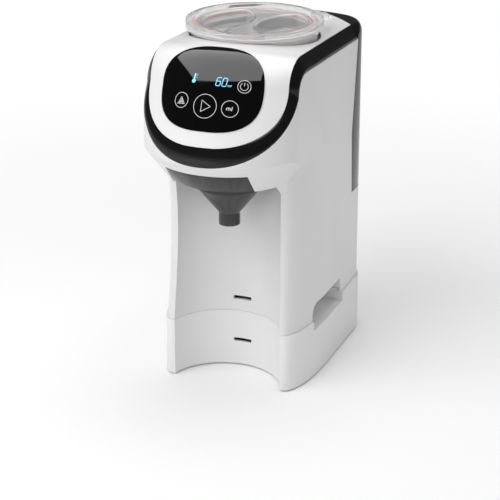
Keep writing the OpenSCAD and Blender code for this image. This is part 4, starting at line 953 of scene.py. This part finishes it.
@dataclass
class Icons:
    """The generic lit signs behind the touch panel: lines that lie on its surface.

    The places, and the radii of the rings, are in millimetres across and up the machine.
    """

    head: Head
    step: float = 1.2 * MM
    proud: float = 0.05 * MM
    sunk: float = 0.2 * MM
    rings: dict[str, tuple[float, float, float]] = field(default_factory=lambda: {
        "heap": (-26, 257, 7.4), "play": (0, 253.4, 11.6), "unit": (24.5, 253.6, 7.9),
        "power": (34.6, 274.6, 6.0)})
    heat_at: Point = (-15.5, 277.3)
    reading_at: Point = (13, 276.2)

    def stroke(self, name: str, path: Sequence[Point], width: float = 0.45 * MM,
               finish: Finish = ICON_WHITE) -> Piece:
        """Lays one line on the panel.

        Args:
            name: The object's name.
            path: The line's points in the face's plane, closed where its ends meet.
            width: The line's width.
            finish: Its finish.

        Returns:
            The new object.
        """
        closed = math.dist(path[0], path[-1]) < 1e-6
        path = stepped(path, self.step)
        if closed:
            path.pop()
        count = len(path)
        high, low = self.head.panel_t + self.proud, self.head.panel_t - self.sunk
        sections = []
        for k, (x, v) in enumerate(path):
            before = path[(k - 1) % count] if closed or k else path[k]
            after = path[(k + 1) % count] if closed or k < count - 1 else path[k]
            along = Vector((after[0] - before[0], after[1] - before[1])).normalized()
            side = Vector((-along.y, along.x)) * width / 2
            sections.append(self.head.up([
                self.head.on_face(x + way * side.x, v + way * side.y, proud)
                for way, proud in ((1, high), (-1, high), (-1, low), (1, low))]))
        if closed:
            sections.append(sections[0])
            faces = strip_faces(len(sections), 4, ring=True)
            piece = solid(name, [p for row in sections for p in row], faces)
        else:
            piece = swept(name, sections)
        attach(piece, "machine")
        self.head.paint.paint(piece, finish, "icon_blue" if finish is ICON_BLUE else "icon_white")
        return piece

    def dot(self, name: str, at: Point, radius: float, finish: Finish) -> Piece:
        """Lays a filled round spot on the panel."""
        return self.stroke(name, ring_line(at, radius / 2, steps=16), radius * 0.96, finish)

    def face_point(self, x: float, z: float) -> Point:
        """Turns millimetres across and up the machine into the face's plane."""
        return (x * MM, (z * MM - self.head.panel_z) / math.cos(self.head.lean))

    def build(self) -> list[Piece]:
        """Builds every sign."""
        made: list[Piece] = []
        spots = {name: self.face_point(x, z) for name, (x, z, _) in self.rings.items()}
        heap, play, power = spots["heap"], spots["play"], spots["power"]
        for name, (_, _, radius) in self.rings.items():
            made.append(self.stroke(f"icon_{name}_ring", ring_line(spots[name], radius * MM)))
        for row, count in enumerate((5, 4, 3, 2, 1)):
            for k in range(count):
                spot = (heap[0] + (k - (count - 1) / 2) * 1.7 * MM,
                        heap[1] + (row * 1.5 - 3.2) * MM)
                made.append(self.dot(f"icon_heap_{row}_{k}", spot, 0.62 * MM, ICON_WHITE))
        corner = [(play[0] + x * MM, play[1] + v * MM)
                  for x, v in ((-3.6, 5.6), (5.6, 0.0), (-3.6, -5.6))]
        for k in range(3):
            made.append(self.stroke(f"icon_play_side_{k}", [corner[k], corner[(k + 1) % 3]]))
        made += self.letters("icon_unit", spots["unit"], 3.4 * MM, 0.8 * MM, ICON_WHITE)
        made.append(self.stroke("icon_power_arc", ring_line(power, 3.6 * MM, 125, 290, 36)))
        made.append(self.stroke("icon_power_bar", [(power[0], power[1] + 0.4 * MM),
                                                   (power[0], power[1] + 3.9 * MM)]))
        made += self.thermometer(self.face_point(*self.heat_at))
        made += self.reading(self.face_point(*self.reading_at))
        return made

    def letters(self, name: str, at: Point, height: float, width: float,
                finish: Finish) -> list[Piece]:
        """Writes the unit "ml" from plain strokes, centred on a point."""
        x, v, slant = at[0] - height * 0.95, at[1] - height / 2, 0.15
        low = height * 0.72

        def place(across: float, up: float) -> Point:
            """Returns a point of the slanted writing."""
            return (x + across * height + slant * up, v + up)

        paths = [[place(0, 0), place(0, low)]]
        for left in (0.05, 0.57):
            paths.append([place(left, low * 0.8), place(left + 0.15, low), place(left + 0.37, low),
                          place(left + 0.47, low * 0.8), place(left + 0.47, 0)])
        paths.append([place(1.45, height * 1.15), place(1.45, 0)])
        return [self.stroke(f"{name}_{k}", path, width * 0.75, finish)
                for k, path in enumerate(paths)]

    def thermometer(self, at: Point) -> list[Piece]:
        """Draws the thermometer sign."""
        x, v = at
        stem = [(x, v - 1.5 * MM), (x + 0.5 * MM, v + 4.5 * MM)]
        marks = [[(x + 1.8 * MM, v + k * MM), (x + 3.2 * MM, v + k * MM)] for k in (0.5, 2.2, 3.9)]
        made = [self.stroke("icon_heat_stem", stem, 1.5 * MM, ICON_BLUE),
                self.dot("icon_heat_bulb", (x, v - 2.8 * MM), 2.0 * MM, ICON_BLUE)]
        return made + [self.stroke(f"icon_heat_mark_{k}", path, 0.4 * MM, ICON_BLUE)
                       for k, path in enumerate(marks)]

    def reading(self, at: Point) -> list[Piece]:
        """Draws the amount 60 and its unit."""
        x, v = at
        wide, tall, slant = 4.2 * MM, 8.0 * MM, 0.12

        def lean(points: Sequence[Point], shift: float) -> list[Point]:
            """Returns a digit's points at its place, from shares of its width and height."""
            return [(x + shift + p * wide + slant * q * tall, v + (q - 0.5) * tall)
                    for p, q in points]

        nought = [(0.15, 0.0), (0.85, 0.0), (1.0, 0.12), (1.0, 0.88), (0.85, 1.0), (0.15, 1.0),
                  (0.0, 0.88), (0.0, 0.12), (0.15, 0.0)]
        six = [(0.95, 1.0), (0.2, 1.0), (0.0, 0.85), (0.0, 0.12), (0.15, 0.0), (0.85, 0.0),
               (1.0, 0.12), (1.0, 0.42), (0.85, 0.54), (0.1, 0.54)]
        made = [self.stroke("icon_amount_six", lean(six, -5.6 * MM), 0.75 * MM, ICON_BLUE),
                self.stroke("icon_amount_nought", lean(nought, 0.4 * MM), 0.75 * MM, ICON_BLUE)]
        unit_at = (x + 8.4 * MM, v - 3.0 * MM)
        return made + self.letters("icon_amount_unit", unit_at, 2.0 * MM, 0.55 * MM, ICON_BLUE)


# ------------ the other sub-assemblies


@dataclass
class Mouldings:
    """CAD parts by node, each with its finish and its rounded edges' width in millimetres."""

    paint: Paintshop
    parts: dict[str, tuple[str, float]]

    def build(self) -> list[Piece]:
        """Rounds and paints the parts."""
        made = []
        for node, (slot, width) in self.parts.items():
            piece = softened(node, width * MM)
            self.paint.paint(piece, FINISHES[slot])
            made.append(piece)
        return made


BODY = {"main_housing": ("body_white", 0.9), "riser_shell": ("riser_white", 0.9),
        "base_plate": ("inner_white", 0.45)}
VESSELS = {"water_tank": ("tank_smoke", 0.8), "container_lid": ("clear_plastic", 0.7),
           "powder_container": ("clear_plastic", 0.5), "funnel_drawer": ("smoke_clear", 0.7),
           "funnel": ("smoke_clear", 0.7)}


# ------------ studio


@dataclass(frozen=True)
class Lamp:
    """One soft rectangular lamp: its place, the point it faces, its size and its watts."""

    name: str
    at: Triple
    aim: Triple
    size: Point
    power: float

    def hang(self) -> Piece:
        """Puts the lamp in the scene."""
        data = bpy.data.lights.new(self.name, "AREA")
        data.shape = "RECTANGLE"
        data.size, data.size_y = self.size
        data.energy = self.power
        lamp = placed(self.name, data)
        turn = (Vector(self.at) - Vector(self.aim)).to_track_quat("Z", "Y").to_matrix().to_4x4()
        lamp.matrix_world = Matrix.Translation(self.at) @ turn
        return lamp


LAMPS = (Lamp("key", (-0.9, -1.5, 2.3), (0, 0, 0.2), (2.4, 1.3), 34.0),
         Lamp("top", (0.1, 0.3, 2.3), (0, 0, 0.2), (1.6, 1.6), 13.0),
         Lamp("fill", (-0.8, -2.2, 0.7), (0, 0, 0.15), (1.2, 1.0), 8.0))
CEILING = Lamp("ceiling", (-0.4, -0.3, 2.6), (-0.4, -0.3, 0), (4.0, 4.0), 160.0)


@dataclass
class Studio:
    """Floor, light and camera."""

    lens_mm: float = 129.32
    sensor_mm: float = 36.0
    camera_at: Triple = (0.6333, -1.6635, 0.8132)
    camera_right: Triple = (0.9339, 0.3576, 0.0)
    camera_up: Triple = (-0.1296, 0.3384, 0.9320)
    clip_end: float = 60.0
    floor_half: float = 12.0
    fade_from: float = 0.3
    fade_to: float = 1.1
    surround: float = 0.52
    mirrored: float = 0.07

    def camera(self) -> None:
        """Places the camera at the photograph's viewing angle."""
        data = bpy.data.cameras.new("camera")
        data.lens = self.lens_mm
        data.sensor_width = self.sensor_mm
        data.clip_end = self.clip_end
        eye = placed("camera", data)
        right, up = Vector(self.camera_right).normalized(), Vector(self.camera_up).normalized()
        turn = Matrix((right, up, right.cross(up))).transposed()
        eye.matrix_world = Matrix.Translation(self.camera_at) @ turn.to_4x4()
        bpy.context.scene.camera = eye

    def floor(self) -> None:
        """Lays the plain pale floor, which fades to white away from the object."""
        h = self.floor_half
        corners = [Vector((x, y, 0)) for x, y in rectangle(-h, -h, h, h)]
        floor = solid("floor", corners, [(0, 1, 2, 3)])
        made, sketch = blank_material("floor_white")
        near = sketch.add("BsdfPrincipled", {"Base Color": (0.93, 0.93, 0.93, 1), "Roughness": 0.9,
                                             "Specular IOR Level": 0.1})
        away = sketch.add("Emission", {"Color": (1, 1, 1, 1), "Strength": 1.0})
        place = sketch.add("TexCoord").outputs["Object"]
        reach = sketch.add("VectorMath", {0: place}, operation="LENGTH").outputs["Value"]
        fade = sketch.add("MapRange", {"Value": reach, "From Min": self.fade_from,
                                       "From Max": self.fade_to}, interpolation_type="SMOOTHSTEP")
        seen = sketch.maths("MULTIPLY", fade.outputs[0],
                            sketch.add("LightPath").outputs["Is Camera Ray"])
        mixed = sketch.add("MixShader", {0: seen, 1: near.outputs[0], 2: away.outputs[0]})
        sketch.add("OutputMaterial", {"Surface": mixed.outputs[0]})
        floor.data.materials.append(made)

    def world(self) -> None:
        """Sets the surround: white behind and through clear parts, darker in the gloss."""
        world = bpy.data.worlds.new("surround")
        world.use_nodes = True
        sketch = NodeSketch(world.node_tree)
        path = sketch.add("LightPath").outputs
        direct = sketch.maths("MAXIMUM", path["Is Camera Ray"], path["Is Transmission Ray"])
        even = sketch.add("MapRange", {"Value": path["Is Glossy Ray"], "To Min": self.surround,
                                       "To Max": self.mirrored})
        strength = sketch.add("Mix", {0: direct, 2: even.outputs[0], 3: 1.0}, data_type="FLOAT")
        back = world.node_tree.nodes["Background"]
        back.inputs["Color"].default_value = (1, 1, 1, 1)
        world.node_tree.links.new(strength.outputs[0], back.inputs["Strength"])
        bpy.context.scene.world = world

    def build(self) -> None:
        """Builds the studio."""
        bpy.context.scene.view_settings.view_transform = "Standard"
        self.camera()
        self.floor()
        self.world()
        for lamp in LAMPS:
            lamp.hang().visible_glossy = False
        ceiling = CEILING.hang()
        ceiling.visible_diffuse = False
        ceiling.visible_transmission = False


def main() -> None:
    """Builds the looks in order."""
    logging.basicConfig(level=logging.INFO, format="%(name)s: %(message)s")
    Studio().build()
    paint = Paintshop()
    paint.paint_nodes()
    makers = {"head": Head(paint), "body": Mouldings(paint, BODY),
              "vessels": Mouldings(paint, VESSELS)}
    for name, maker in makers.items():
        for piece in maker.build():
            log.info("%s: %s, %d faces", name, piece.name, len(piece.data.polygons))


if __name__ == "__main__":
    main()
